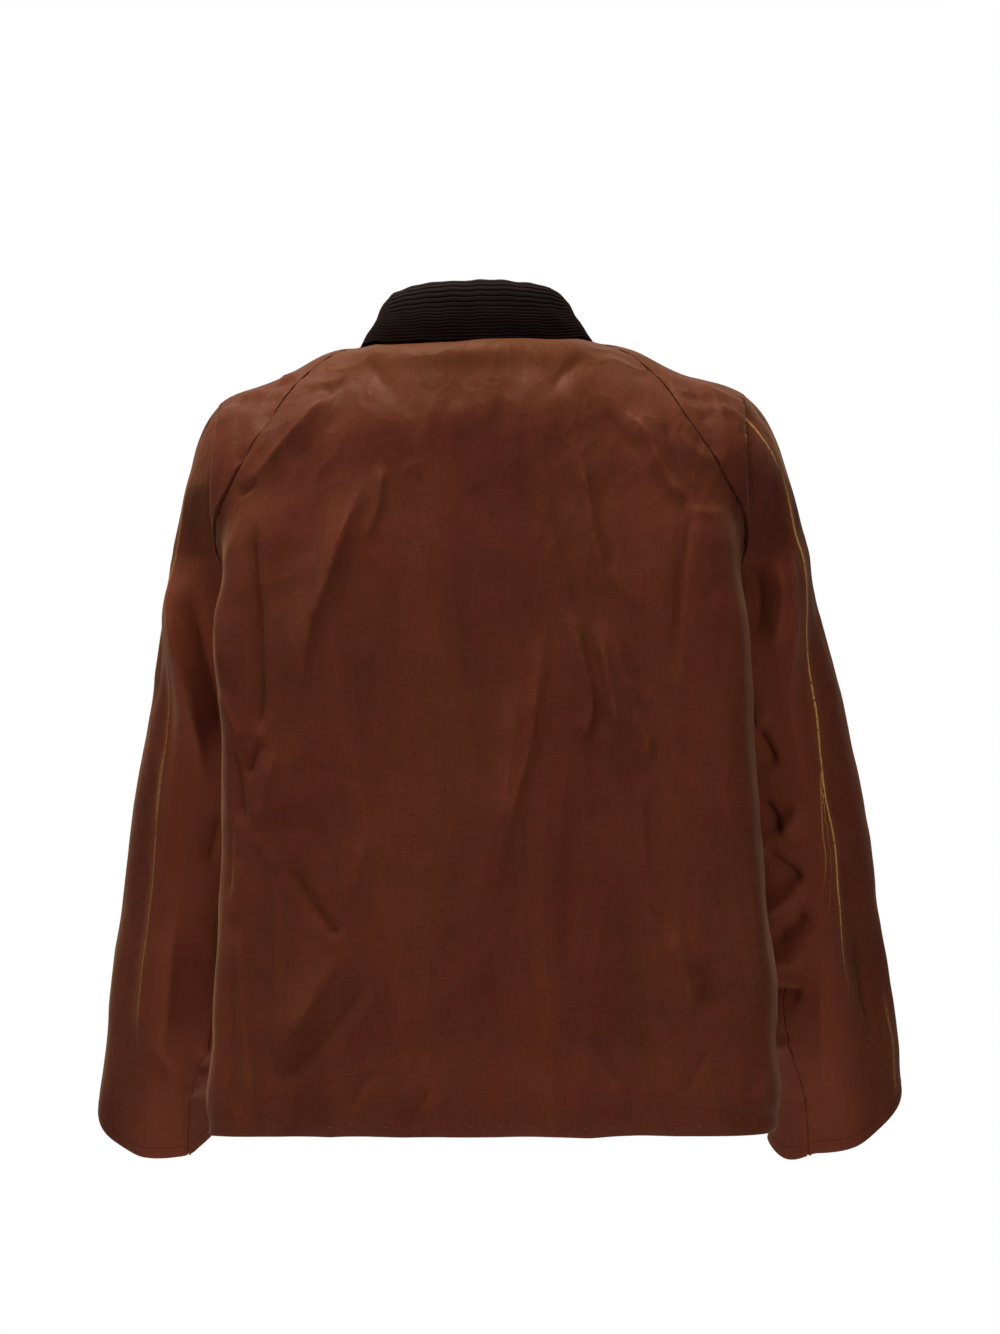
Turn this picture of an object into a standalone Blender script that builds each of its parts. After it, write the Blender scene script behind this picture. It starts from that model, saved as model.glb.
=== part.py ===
"""Waxed cotton jacket with raglan sleeves, a corduroy collar and a zip, filled out with no wearer.

Metres, +Z up.  The origin is the centre of the neck, the front faces -Y and the wearer's left is +X.
Every cloth piece is a wall lofted through the sections below.  A section runs round one half of the
jacket, from the centre back to the centre front, and both halves share it apart from a small lean.
"""
import math

import bmesh
import bpy
import numpy as np
from mathutils.kdtree import KDTree

# ---------------------------------------------------------------- driving dimensions
CLOTH = 0.0015            # thickness of the waxed cotton
SEAM_GAP = 0.0003         # between neighbouring pieces
ROW_STEP = 0.030          # length of a facet along the body and sleeves
RAIL_STEP = 0.027         # width of a facet round the body and sleeves
SLEEVE_FACETS = 4         # facets in each quarter of a sleeve
COLLAR_FACETS = 26        # facets round the neck
STAND_FACETS = 3          # facets up the collar stand

ZIP_HALF_GAP = 0.005      # from the centre line to a front edge

# Share of the half width, and of the depth behind (+) or before (-) the side line, of each body rail.
BODY_RAILS = dict(
    centre_back=(0.00, 1.00),
    blade=(0.52, 0.93),
    edge=(1.00, 0.00),
    side_seam=(0.865, -0.36),
    flank=(0.720, -0.65),
    breast=(0.46, -0.92),
    centre_front=(0.00, -1.00),
)

# Rings of the body from the hem to the armpit.  The lean moves a whole ring along X and the tilt
# lifts its left side.
BODY_RINGS = (
    dict(z=-0.7090, half_width=0.2455, side=0.035, back=0.112, front=-0.120, lean=0.0000, tilt=0.012),
    dict(z=-0.7000, half_width=0.2510, side=0.035, back=0.118, front=-0.126, lean=-0.0010, tilt=0.012),
    dict(z=-0.6200, half_width=0.2530, side=0.037, back=0.122, front=-0.129, lean=-0.0050, tilt=0.008),
    dict(z=-0.5000, half_width=0.2440, side=0.040, back=0.125, front=-0.132, lean=-0.0060, tilt=0.004),
    dict(z=-0.3700, half_width=0.2375, side=0.044, back=0.127, front=-0.135, lean=-0.0040, tilt=0.000),
    dict(z=-0.2400, half_width=0.2350, side=0.048, back=0.127, front=-0.136, lean=0.0000, tilt=0.000),
)

# Sections of the yoke above the armpit, each from the centre back round to the centre front.
YOKE = (
    dict(centre_back=(0, 0.125, -0.172), blade=(0.122, 0.117, -0.171), edge=(0.212, 0.090, -0.168),
         seam_back=(0.236, 0.050, -0.168), back=(0.259, 0.020, -0.168), outer=(0.2870, -0.026, -0.172),
         front=(0.262, -0.094, -0.180), seam_front=(0.212, -0.088, -0.196), flank=(0.168, -0.110, -0.190),
         breast=(0.100, -0.127, -0.186), centre_front=(0, -0.134, -0.186)),
    dict(centre_back=(0, 0.121, -0.128), blade=(0.112, 0.115, -0.127), edge=(0.180, 0.101, -0.125),
         seam_back=(0.219, 0.081, -0.124), back=(0.249, 0.050, -0.118), outer=(0.2725, -0.014, -0.117),
         front=(0.250, -0.076, -0.124), seam_front=(0.201, -0.102, -0.146), flank=(0.158, -0.114, -0.141),
         breast=(0.092, -0.124, -0.138), centre_front=(0, -0.130, -0.138)),
    dict(centre_back=(0, 0.114, -0.082), blade=(0.100, 0.107, -0.080), edge=(0.154, 0.094, -0.077),
         seam_back=(0.188, 0.076, -0.073), back=(0.226, 0.046, -0.064), outer=(0.2460, -0.006, -0.055),
         front=(0.226, -0.056, -0.068), seam_front=(0.176, -0.090, -0.098), flank=(0.136, -0.103, -0.099),
         breast=(0.080, -0.114, -0.100), centre_front=(0, -0.120, -0.104)),
    dict(centre_back=(0, 0.103, -0.034), blade=(0.080, 0.094, -0.032), edge=(0.126, 0.072, -0.030),
         seam_back=(0.156, 0.044, -0.027), back=(0.170, 0.024, -0.022), outer=(0.1740, -0.002, -0.0235),
         front=(0.166, -0.032, -0.030), seam_front=(0.138, -0.066, -0.052), flank=(0.110, -0.084, -0.060),
         breast=(0.066, -0.100, -0.070), centre_front=(0, -0.108, -0.078)),
    dict(centre_back=(0, 0.090, -0.0025), blade=(0.062, 0.079, -0.002), edge=(0.096, 0.050, -0.0015),
         seam_back=(0.115, 0.020, -0.001), back=(0.117, 0.010, 0.000), outer=(0.1180, -0.004, 0.000),
         front=(0.113, -0.026, -0.008), seam_front=(0.104, -0.046, -0.022), flank=(0.086, -0.066, -0.036),
         breast=(0.054, -0.086, -0.052), centre_front=(0, -0.096, -0.064)),
    dict(centre_back=(0, 0.066, -0.003), blade=(0.050, 0.053, -0.0025), edge=(0.076, 0.030, -0.0015),
         seam_back=(0.086, 0.012, -0.001), back=(0.088, 0.004, -0.001), outer=(0.0880, -0.006, -0.002),
         front=(0.085, -0.024, -0.008), seam_front=(0.079, -0.038, -0.017), flank=(0.066, -0.056, -0.028),
         breast=(0.042, -0.074, -0.043), centre_front=(0, -0.083, -0.054)),
)

# Rings of the sleeve from below the armpit to the cuff: its centre, the outermost x, the rise of the
# ring towards the outside, what the right sleeve's rises more and the left's less, its dip towards
# the back, and the underarm seam's angle from the outside round the back.
SLEEVE_RINGS = (
    dict(z=-0.335, outer=0.3200, half_width=0.0560, y=-0.082, half_depth=0.060,
         rise=0.06, uneven=0.00, dip=0.12, seam=176),
    dict(z=-0.450, outer=0.3440, half_width=0.0590, y=-0.112, half_depth=0.052,
         rise=0.12, uneven=0.02, dip=0.25, seam=162),
    dict(z=-0.590, outer=0.3690, half_width=0.0605, y=-0.146, half_depth=0.046,
         rise=0.12, uneven=0.04, dip=0.45, seam=136),
    dict(z=-0.675, outer=0.3820, half_width=0.0635, y=-0.170, half_depth=0.042,
         rise=0.18, uneven=0.08, dip=0.65, seam=130),
    dict(z=-0.714, outer=0.3865, half_width=0.0675, y=-0.184, half_depth=0.040,
         rise=0.25, uneven=0.11, dip=0.80, seam=130),
)
PIT_RING = dict(back=(0.249, 0.006, -0.236), outer=(0.3015, -0.052, -0.243), front=(0.264, -0.110, -0.247))
# How far the outside of both sleeves swings along X at each sleeve ring, the pit and each yoke section.
SLEEVE_LEAN = (0.001, -0.001, -0.002, -0.005, -0.006, -0.0055, -0.005, -0.004, -0.001, 0.0, 0.0, 0.0)

CORDUROY = 0.0018         # thickness of the corduroy under its wales
WALE_PITCH = 0.0030
WALE_HEIGHT = 0.0007
COLLAR_LEAN = 0.0025      # the collar stands a little to the left
# Edges of the collar, each from the centre back to the front.
COLLAR_EDGES = dict(
    stand_top=((0, 0.0490, 0.0390), (0.0400, 0.0400, 0.0380), (0.0700, 0.0000, 0.0265),
               (0.0550, -0.0480, -0.0025), (0.0065, -0.0735, -0.0280)),
    fall_start=((0, 0.0494, 0.0406), (0.0404, 0.0404, 0.0396), (0.0705, 0.0000, 0.0281),
                (0.0554, -0.0483, -0.0009), (0.0065, -0.0740, -0.0264)),
    roll=((0, 0.0540, 0.0470), (0.0440, 0.0440, 0.0460), (0.0765, 0.0000, 0.0345),
          (0.0590, -0.0520, 0.0040), (0.0080, -0.0780, -0.0225)),
    fall_middle=((0, 0.0700, 0.0240), (0.0530, 0.0600, 0.0235), (0.0915, 0.0000, 0.0185),
                 (0.0730, -0.0640, -0.0170), (0.0220, -0.0960, -0.0450)),
    fall_edge=((0, 0.0820, -0.0012), (0.0465, 0.0772, -0.0008), (0.0840, 0.0488, 0.0000),
               (0.1030, 0.0060, 0.0020), (0.1060, -0.0170, -0.0008), (0.1015, -0.0470, -0.0190),
               (0.0805, -0.0830, -0.0470), (0.0400, -0.1110, -0.0760)),
)

TAPE_WIDTH = 0.012
TAPE = 0.0010
TAPE_DEPTH = 0.0020       # of the tapes below the outside of the fronts
CHAIN_HALF_WIDTH = 0.0030
CHAIN = 0.0020
PLATE = (0.0085, 0.0016, 0.0110)      # slider's front plate: width, thickness, length
BACK_PLATE = (0.0085, 0.0012, 0.0110)
BACK_PLATE_DEPTH = 0.0048             # of its outer face below the front plate's inner face
POST = (0.0024, 0.0052, 0.0036)       # joins the plates in front of the chain's top
POST_SINK = 0.0002                    # of the post into the front plate
POST_FOOT = 0.0006                    # from the plates' middle up to the post
BAIL_RADIUS = 0.0024
BAIL_WIRE = 0.0006        # its radius
PIVOT = (0.0, -0.0025, -0.0010)       # of the pull tab on the slider
PULL = (0.0066, 0.0010, 0.0330)
PULL_CORNER = 0.0012
EYE = (0.0026, 0.0037)    # opening of the pull tab round the bail: width, length
EYE_CORNER = 0.0008
EYE_BAR = 0.0005          # from the pivot to the edge of the bar above the eye

WAXED_RUST = (0.080, 0.020, 0.011)
CORDUROY_BROWN = (0.010, 0.007, 0.006)
TAPE_BROWN = (0.020, 0.010, 0.008)
BRASS = (0.52, 0.36, 0.14)


# ---------------------------------------------------------------- surfaces
def unit(vectors):
    return vectors / np.maximum(np.linalg.norm(vectors, axis=-1, keepdims=True), 1e-12)


def round_curve(knots, steps, before=None, after=None):
    """Curve of near-circular arcs through knots along axis 0, cut into steps[i] pieces in span i.

    The knots before and after only turn the ends of the curve towards them.
    """
    ends = [[] if knot is None else [knot] for knot in (before, after)]
    every = np.concatenate([*[k[None] for k in ends[0]], knots, *[k[None] for k in ends[1]]])
    chord = every[1:] - every[:-1]
    length = np.linalg.norm(chord, axis=-1, keepdims=True)
    along = unit(chord)
    inner = unit(along[:-1] * length[1:] + along[1:] * length[:-1])
    tangent = list(inner) if len(inner) else [along[0], along[0]]
    if before is None and len(inner):
        tangent.insert(0, 2 * np.sum(along[0] * inner[0], -1, keepdims=True) * along[0] - inner[0])
    if after is None and len(inner):
        tangent.append(2 * np.sum(along[-1] * inner[-1], -1, keepdims=True) * along[-1] - inner[-1])
    chord_at = len(ends[0])
    pieces = []
    for span, count in enumerate(steps):
        s = (np.arange(count) / count).reshape((-1,) + (1,) * (knots.ndim - 1))
        start, end = tangent[span], tangent[span + 1]
        reach, heading = length[span + chord_at], along[span + chord_at]
        pull_start = 2 * reach / (1 + np.sum(start * heading, -1, keepdims=True))
        pull_end = 2 * reach / (1 + np.sum(end * heading, -1, keepdims=True))
        pieces.append((1 + 2 * s) * (1 - s) ** 2 * knots[span] + s * (1 - s) ** 2 * pull_start * start
                      + s * s * (3 - 2 * s) * knots[span + 1] - s * s * (1 - s) * pull_end * end)
    return np.concatenate(pieces + [knots[-1:]])


def across(net, steps, before=None, after=None):
    return round_curve(net.swapaxes(0, 1), steps, before, after).swapaxes(0, 1)


def spans(net, step):
    """Pieces for each span along axis 0, from the mean distance between its knots."""
    length = np.linalg.norm(net[1:] - net[:-1], axis=-1)
    return [max(1, round(float(row.mean()) / step)) for row in length.reshape(len(length), -1)]


def evenly(knots, count):
    """Points at even distances along the round curve through the knots."""
    fine = round_curve(knots, [16] * (len(knots) - 1))
    run = np.concatenate([[0], np.cumsum(np.linalg.norm(fine[1:] - fine[:-1], axis=-1))])
    at = np.linspace(0, run[-1], count + 1)
    return np.stack([np.interp(at, run, fine[:, axis]) for axis in range(3)], axis=1)


def drawn_in(grid, first=True, last=True):
    """The grid with its first and last columns drawn back from their seams."""
    grid = grid.copy()
    if first:
        grid[:, 0] += SEAM_GAP / 2 * unit(grid[:, 1] - grid[:, 0])
    if last:
        grid[:, -1] += SEAM_GAP / 2 * unit(grid[:, -2] - grid[:, -1])
    return grid


def normals(grid):
    """Outward normals of a grid whose rows rise and whose columns run clockwise seen from above."""
    return unit(np.cross(np.gradient(grid, axis=1), np.gradient(grid, axis=0)))


# ---------------------------------------------------------------- sections
def body_ring(ring, side):
    points = []
    for share, depth in BODY_RAILS.values():
        reach = ring["back"] - ring["side"] if depth > 0 else ring["side"] - ring["front"]
        x = side * share * ring["half_width"]
        points.append((x + ring["lean"], ring["side"] + depth * reach, ring["z"] + ring["tilt"] * x))
    return points


def body_rails(side, first, last):
    return np.array([body_ring(ring, side)[first:last] for ring in BODY_RINGS])


def armpit(side):
    """Where the side seam, the underarm seam and both raglan seams meet."""
    return body_rails(side, 0, 7)[-1, list(BODY_RAILS).index("side_seam")]


def yoke_rails(side, *names):
    return np.array([[section[name] for name in names] for section in YOKE]) * (side, 1, 1)


def sleeve_ring(ring, side):
    centre = np.array((ring["outer"] - ring["half_width"], ring["y"], ring["z"]))
    outward = ring["half_width"] * np.array((1, 0, ring["rise"] - side * ring["uneven"]))
    backward = ring["half_depth"] * np.array((0, 1, -ring["dip"]))
    angles = [math.radians(ring["seam"] - 90 * quarter) for quarter in range(5)]
    return np.array([centre + math.cos(a) * outward + math.sin(a) * backward for a in angles]) * (side, 1, 1)


# ---------------------------------------------------------------- objects
def material(name, color, roughness, metallic=0.0):
    made = bpy.data.materials.new(name)
    made.use_nodes = True
    shader = made.node_tree.nodes["Principled BSDF"]
    shader.inputs["Base Color"].default_value = (*color, 1)
    shader.inputs["Roughness"].default_value = roughness
    shader.inputs["Metallic"].default_value = metallic
    return made


def add_object(name, mesh, finish, collection=None):
    mesh.materials.clear()
    mesh.materials.append(finish)
    mesh.shade_smooth()
    made = bpy.data.objects.new(name, mesh)
    (collection or jacket).objects.link(made)
    return made


def cloth(name, grid, finish, thickness=CLOTH):
    """A sheet through a grid of points, with its wall on the inner side."""
    rows, columns = grid.shape[:2]
    bm = bmesh.new()
    bmesh.ops.create_grid(bm, x_segments=columns - 1, y_segments=rows - 1, size=1)
    for vert in bm.verts:
        column = round((vert.co.x + 1) / 2 * (columns - 1))
        row = round((vert.co.y + 1) / 2 * (rows - 1))
        vert.co = grid[row, column]
    mesh = bpy.data.meshes.new(name)
    bm.to_mesh(mesh)
    bm.free()
    made = add_object(name, mesh, finish)
    wall = made.modifiers.new("wall", "SOLIDIFY")
    wall.thickness = thickness
    wall.offset = -1
    return made


# ---------------------------------------------------------------- body
def raglan_seam(side, name):
    """Rows of a raglan seam from the armpit to the neck."""
    knots = np.array([armpit(side), *yoke_rails(side, name)[:, 0]])
    return round_curve(knots, ROWS_UP[PIT:])


def body_rows(side, first, last, seam, names):
    """Rows of the body's rails up to the armpit and on over the yoke; the rail at seam ends each half."""
    lower = body_rails(side, first, last)
    upper = yoke_rails(side, *names)
    rows = round_curve(np.concatenate([lower, upper]), ROWS_UP)
    side_seam = round_curve(lower[:, seam], ROWS_UP[:PIT])
    rows[:, seam] = np.concatenate([side_seam, raglan_seam(side, names[seam])[1:]])
    return rows


def back_panel(finish):
    names = ("centre_back", "blade", "edge", "seam_back", "back")
    halves = [body_rows(side, 0, 5, 3, names) for side in (1, -1)]
    rows = np.concatenate([halves[0][:, ::-1], halves[1][:, 1:]], axis=1)
    steps = spans(rows[WIDEST_ROWS, 1:-1].swapaxes(0, 1), RAIL_STEP)
    cloth("back", drawn_in(across(rows[:, 1:-1], steps, before=rows[:, 0], after=rows[:, -1])), finish)


def front_panel(name, side, finish):
    """The front and its grid, whose last column runs up the front edge."""
    rows = body_rows(side, 2, 7, 1, ("front", "seam_front", "flank", "breast", "centre_front"))
    rows[:, -1, 0] += side * ZIP_HALF_GAP
    steps = spans(rows[WIDEST_ROWS, 1:].swapaxes(0, 1), RAIL_STEP)
    grid = drawn_in(across(rows[:, 1:], steps, before=rows[:, 0]), last=False)
    cloth(name, grid[:, ::-side], finish)
    return grid


# ---------------------------------------------------------------- sleeves
def sleeve(name, side, finish):
    pit = np.array([[PIT_RING[rail] for rail in ("back", "outer", "front")]]) * (side, 1, 1)
    rings = np.array([sleeve_ring(ring, side) for ring in reversed(SLEEVE_RINGS)])
    upper = yoke_rails(side, "back", "outer", "front")
    rails = np.concatenate([rings[:, 1:4], pit, upper])
    rails[..., 0] += np.array(SLEEVE_LEAN)[:, None]
    steps_up = spans(rails[:len(rings) + 1], ROW_STEP) + ROWS_UP[PIT:]
    under = np.concatenate([rings[:, 0] + np.outer(SLEEVE_LEAN[:len(rings)], (1, 0, 0)), [armpit(side)]])
    under = round_curve(under, steps_up[:len(rings)])
    raglans = [raglan_seam(side, seam)[1:] for seam in ("seam_back", "seam_front")]
    edges = [np.concatenate([under, raglan])[:, None] for raglan in raglans]
    rows = np.concatenate([edges[0], round_curve(rails, steps_up), edges[1]], axis=1)
    grid = drawn_in(across(rows, [SLEEVE_FACETS] * 4))
    cloth(name, grid[:, ::-side], finish)


# ---------------------------------------------------------------- collar
def collar_rows(edges, leans, steps):
    """Rows of the whole collar from its left front round the back to its right front."""
    left = np.array([evenly(edge, COLLAR_FACETS // 2) for edge in edges])
    whole = np.concatenate([left[:, ::-1], left[:, 1:] * (-1, 1, 1)], axis=1)
    whole[..., 0] += np.array(leans)[:, None]
    return round_curve(whole, steps)


def collar_stand(finish):
    foot = np.array(list(YOKE[-1].values())) + (0, 0, 2 * SEAM_GAP)
    foot[-1, 0] = ZIP_HALF_GAP
    grid = collar_rows([foot, np.array(COLLAR_EDGES["stand_top"])], (0, COLLAR_LEAN), [STAND_FACETS])
    cloth("collar_stand", grid, finish, CORDUROY)


def collar_fall(finish):
    """Corduroy wall with raised wales on its outside over a plain inside."""
    edges = [np.array(COLLAR_EDGES[name]) for name in ("fall_edge", "fall_middle", "roll", "fall_start")]
    heights = [np.linalg.norm(upper[0] - lower[0]) for lower, upper in zip(edges, edges[1:])]
    wales = [round(height / WALE_PITCH) for height in heights]
    grid = collar_rows(edges, [COLLAR_LEAN] * len(edges), [2 * count for count in wales])
    sheet = cloth("collar_fall", grid, finish, CORDUROY)
    solid = bpy.data.meshes.new_from_object(sheet.evaluated_get(bpy.context.evaluated_depsgraph_get()))
    bpy.data.objects.remove(sheet, do_unlink=True)
    outward = normals(grid)
    nearest = kdtree(grid)
    for vert in solid.vertices:
        point, index, distance = nearest.find(vert.co)
        row, column = divmod(index, grid.shape[1])
        if distance < CORDUROY / 10 and row % 2:
            vert.co = grid[row, column] + WALE_HEIGHT * outward[row, column]
    add_object("collar_fall", solid, finish)


def kdtree(grid):
    tree = KDTree(grid.shape[0] * grid.shape[1])
    for index, point in enumerate(grid.reshape(-1, 3)):
        tree.insert(point, index)
    tree.balance()
    return tree


# ---------------------------------------------------------------- zip
def zip_strips(fronts, finish, metal):
    top = len(fronts[1]) - ROWS_UP[-1] - ROWS_UP[-2]
    edges = {}
    for side, grid in fronts.items():
        edge = grid[:, -1]
        inward = unit(edge - grid[:, -2])
        outward = -side * normals(grid)[:, -1]
        edges[side] = edge, inward, outward
        first = edge + (ZIP_HALF_GAP - CHAIN_HALF_WIDTH - SEAM_GAP) * inward
        columns = np.stack([first - TAPE_WIDTH * inward, first], axis=1) - TAPE_DEPTH * outward[:, None]
        name = "zip_tape_left" if side > 0 else "zip_tape_right"
        cloth(name, columns[:top + ROWS_UP[-2]][:, ::-side], finish, TAPE)
    middle = (edges[1][0] + edges[-1][0]) / 2
    outward = unit(edges[1][2] + edges[-1][2])
    columns = np.stack([middle + (side * CHAIN_HALF_WIDTH, 0, 0) for side in (-1, 1)], axis=1)
    cloth("zip_chain", columns[:top] - SEAM_GAP * outward[:top, None], metal, CHAIN)
    return middle[top - 1], unit(middle[top] - middle[top - 2])


def box(name, size, location, finish, bevel=0.0):
    bpy.ops.mesh.primitive_cube_add(size=1, location=location)
    made = bpy.context.object
    made.name = name
    made.scale = size
    bpy.ops.object.transform_apply(location=True, rotation=False, scale=True)
    for collection in list(made.users_collection):
        collection.objects.unlink(made)
    jacket.objects.link(made)
    made.data.materials.append(finish)
    if bevel:
        edge = made.modifiers.new("edges", "BEVEL")
        edge.width = bevel
        edge.segments = 2
    return made


def joined(base, tools):
    for tool in tools:
        jacket.objects.unlink(tool)
        cutters.objects.link(tool)
        tool.hide_render = True
        tool.display_type = "WIRE"
        union = base.modifiers.new("with_" + tool.name, "BOOLEAN")
        union.operation = "UNION"
        union.object = tool
    return base


def wire_mesh(name, points, radius, finish):
    curve = bpy.data.curves.new(name, "CURVE")
    curve.dimensions = "3D"
    curve.bevel_depth = radius
    curve.bevel_resolution = 2
    curve.use_fill_caps = True
    line = curve.splines.new("POLY")
    line.points.add(len(points) - 1)
    for knot, point in zip(line.points, points):
        knot.co = (*point, 1)
    made = bpy.data.objects.new(name, curve)
    jacket.objects.link(made)
    return solid_from_curve(made, finish)


def solid_from_curve(made, finish):
    """The curve's object as a mesh with its caps welded on."""
    bpy.context.view_layer.update()
    mesh = bpy.data.meshes.new_from_object(made.evaluated_get(bpy.context.evaluated_depsgraph_get()))
    bm = bmesh.new()
    bm.from_mesh(mesh)
    bmesh.ops.remove_doubles(bm, verts=bm.verts, dist=1e-6)
    bm.to_mesh(mesh)
    bm.free()
    name = made.name
    matrix = made.matrix_world.copy()
    bpy.data.objects.remove(made, do_unlink=True)
    solid = add_object(name, mesh, finish)
    solid.matrix_world = matrix
    return solid


def zip_slider(finish, place):
    front = box("zip_slider", PLATE, (0, -PLATE[1] / 2, 0), finish, bevel=0.0004)
    back = box("slider_back", BACK_PLATE, (0, BACK_PLATE_DEPTH + BACK_PLATE[1] / 2, 0), finish)
    post = box("slider_post", POST, (0, POST[1] / 2 - POST_SINK, POST_FOOT + POST[2] / 2), finish)
    turns = [math.radians(angle) for angle in range(-10, 191, 20)]
    arch = [(0, -PLATE[1] - BAIL_RADIUS * math.sin(t), PIVOT[2] - BAIL_RADIUS * math.cos(t)) for t in turns]
    bail = wire_mesh("slider_bail", arch, BAIL_WIRE, finish)
    joined(front, (back, post, bail))
    for piece in (front, back, post, bail):
        piece.parent = place


def rounded_outline(curve, width, top, bottom, radius):
    """Closed outline across X, from top down to bottom, with round corners of four facets."""
    line = curve.splines.new("POLY")
    right = width / 2
    points = []
    for x, y, start in ((right, top, 0), (-right, top, 90), (-right, bottom, 180), (right, bottom, 270)):
        centre = (x - math.copysign(radius, x), y - math.copysign(radius, y - (top + bottom) / 2))
        for step in range(5):
            turn = math.radians(start + 22.5 * step)
            points.append((centre[0] + radius * math.cos(turn), centre[1] + radius * math.sin(turn)))
    line.points.add(len(points) - 1)
    for knot, point in zip(line.points, points):
        knot.co = (*point, 0, 1)
    line.use_cyclic_u = True


def zip_pull(finish, place):
    curve = bpy.data.curves.new("zip_pull", "CURVE")
    curve.dimensions = "2D"
    curve.fill_mode = "BOTH"
    curve.extrude = PULL[1] / 2
    rounded_outline(curve, PULL[0], EYE_BAR, EYE_BAR - PULL[2], PULL_CORNER)
    rounded_outline(curve, EYE[0], -EYE_BAR, -EYE_BAR - EYE[1], EYE_CORNER)
    made = bpy.data.objects.new("zip_pull", curve)
    jacket.objects.link(made)
    made.rotation_euler = (math.radians(90), 0, 0)
    solid = solid_from_curve(made, finish)
    solid.parent = place
    solid.location = PIVOT


# ---------------------------------------------------------------- build
for old in list(bpy.data.objects):
    bpy.data.objects.remove(old, do_unlink=True)
jacket = bpy.data.collections.new("waxed_cotton_jacket")
cutters = bpy.data.collections.new("cutters")
bpy.context.scene.collection.children.link(jacket)
bpy.context.scene.collection.children.link(cutters)

waxed = material("waxed_cotton", WAXED_RUST, 0.55)
ribbed = material("corduroy", CORDUROY_BROWN, 0.9)
tape = material("zip_tape", TAPE_BROWN, 0.85)
brass = material("brass", BRASS, 0.35, 1.0)

PIT = len(BODY_RINGS) - 1         # the section at the armpit
back_rails = np.concatenate([body_rails(1, 0, 4), yoke_rails(1, "centre_back", "blade", "edge", "seam_back")])
ROWS_UP = spans(back_rails, ROW_STEP)     # facets between neighbouring sections
WIDEST_ROWS = slice(sum(ROWS_UP[:PIT - 2]), sum(ROWS_UP[:PIT + 3]))

back_panel(waxed)
fronts = {1: front_panel("front_left", 1, waxed), -1: front_panel("front_right", -1, waxed)}
sleeve("sleeve_left", 1, waxed)
sleeve("sleeve_right", -1, waxed)
collar_stand(waxed)
collar_fall(ribbed)
zip_top, zip_line = zip_strips(fronts, tape, brass)
slider_place = bpy.data.objects.new("slider_place", None)
jacket.objects.link(slider_place)
slider_place.location = zip_top
slider_place.rotation_euler = (-math.asin(zip_line[1]), 0, 0)
zip_slider(brass, slider_place)
zip_pull(brass, slider_place)
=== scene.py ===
"""A waxed cotton jacket, seen from the back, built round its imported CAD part."""

import math

import bmesh
import bpy
import numpy as np
from mathutils import Matrix


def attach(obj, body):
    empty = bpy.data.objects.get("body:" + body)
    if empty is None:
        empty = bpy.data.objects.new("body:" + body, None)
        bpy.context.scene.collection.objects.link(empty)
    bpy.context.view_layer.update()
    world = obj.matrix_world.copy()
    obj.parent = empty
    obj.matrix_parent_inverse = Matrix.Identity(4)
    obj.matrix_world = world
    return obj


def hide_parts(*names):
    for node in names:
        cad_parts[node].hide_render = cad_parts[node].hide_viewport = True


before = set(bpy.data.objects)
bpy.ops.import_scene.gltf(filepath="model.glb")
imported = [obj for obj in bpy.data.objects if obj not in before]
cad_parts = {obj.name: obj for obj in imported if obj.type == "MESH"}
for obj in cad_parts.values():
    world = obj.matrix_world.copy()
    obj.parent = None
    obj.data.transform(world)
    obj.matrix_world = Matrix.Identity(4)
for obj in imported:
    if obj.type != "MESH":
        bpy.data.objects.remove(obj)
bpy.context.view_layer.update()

# ---------------------------------------------------------------- back panel
# The back is cut in one from waxed cotton and sewn to the sleeves along two raglan seams and to the
# fronts down its sides.  Its lower edge is turned up inside and caught with small prick stitches.
CLOTH = 0.0009            # thickness of the waxed cotton
SEAM_GAP = 0.0003         # between neighbouring pieces
FACET = 0.0026            # of the cloth's mesh, across
ROW_STEP = 0.0042         # and up
HEM_RADIUS = 0.0022       # of the roll at the lower edge
HEM_DEPTH = 0.022         # of the turned-up cloth inside
PRICKS = dict(pitch=0.025, size=(0.0020, 0.0009, 0.0006))          # stitches that hold the hem
STITCH_ROW = 3, slice(3, -3)      # where a hem's stitches run in its grid, between the turned-in edges
STITCH_LIFT = 0.00015             # of a stitch's middle above the cloth
TURNED_IN = 0.0042                # depth of a seam's turned-in edge
EDGE_ROUND = 0.0009               # how far back from the seam its rounding starts
SEAM_LIFT, SEAM_REACH = 0.0003, 0.009                              # of the cloth beside a seam
PUCKER = 0.00022                  # height of the waves along a seam
PUCKERS = ((0.023, 0), (0.0157, 1), (0.031, 2))                    # their lengths, and where each starts

# Share of the half width, and of the depth behind (+) or before (-) the side line, of each body rail.
BODY_RAILS = dict(
    centre_back=(0.00, 1.00),
    blade=(0.52, 0.93),
    edge=(1.00, 0.00),
    side_seam=(0.865, -0.36),
    flank=(0.720, -0.65),
    breast=(0.46, -0.92),
    centre_front=(0.00, -1.00),
)


def table(names, *rows):
    """Rows of numbers as records with the names given."""
    return [dict(zip(names.split(), row)) for row in rows]


# Rings of the body from the hem to the armpit.  The lean moves a whole ring along X and the tilt
# lifts its left side.
BODY_RINGS = table(
    "z half_width side back front lean tilt",
    (-0.7090, 0.2455, 0.035, 0.112, -0.120, 0.0000, 0.012),
    (-0.7000, 0.2510, 0.035, 0.118, -0.126, -0.0010, 0.012),
    (-0.6200, 0.2530, 0.037, 0.122, -0.129, -0.0050, 0.008),
    (-0.5000, 0.2440, 0.040, 0.125, -0.132, -0.0060, 0.004),
    (-0.3700, 0.2375, 0.044, 0.127, -0.135, -0.0040, 0.000),
    (-0.2400, 0.2350, 0.048, 0.127, -0.136, 0.0000, 0.000),
)

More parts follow.
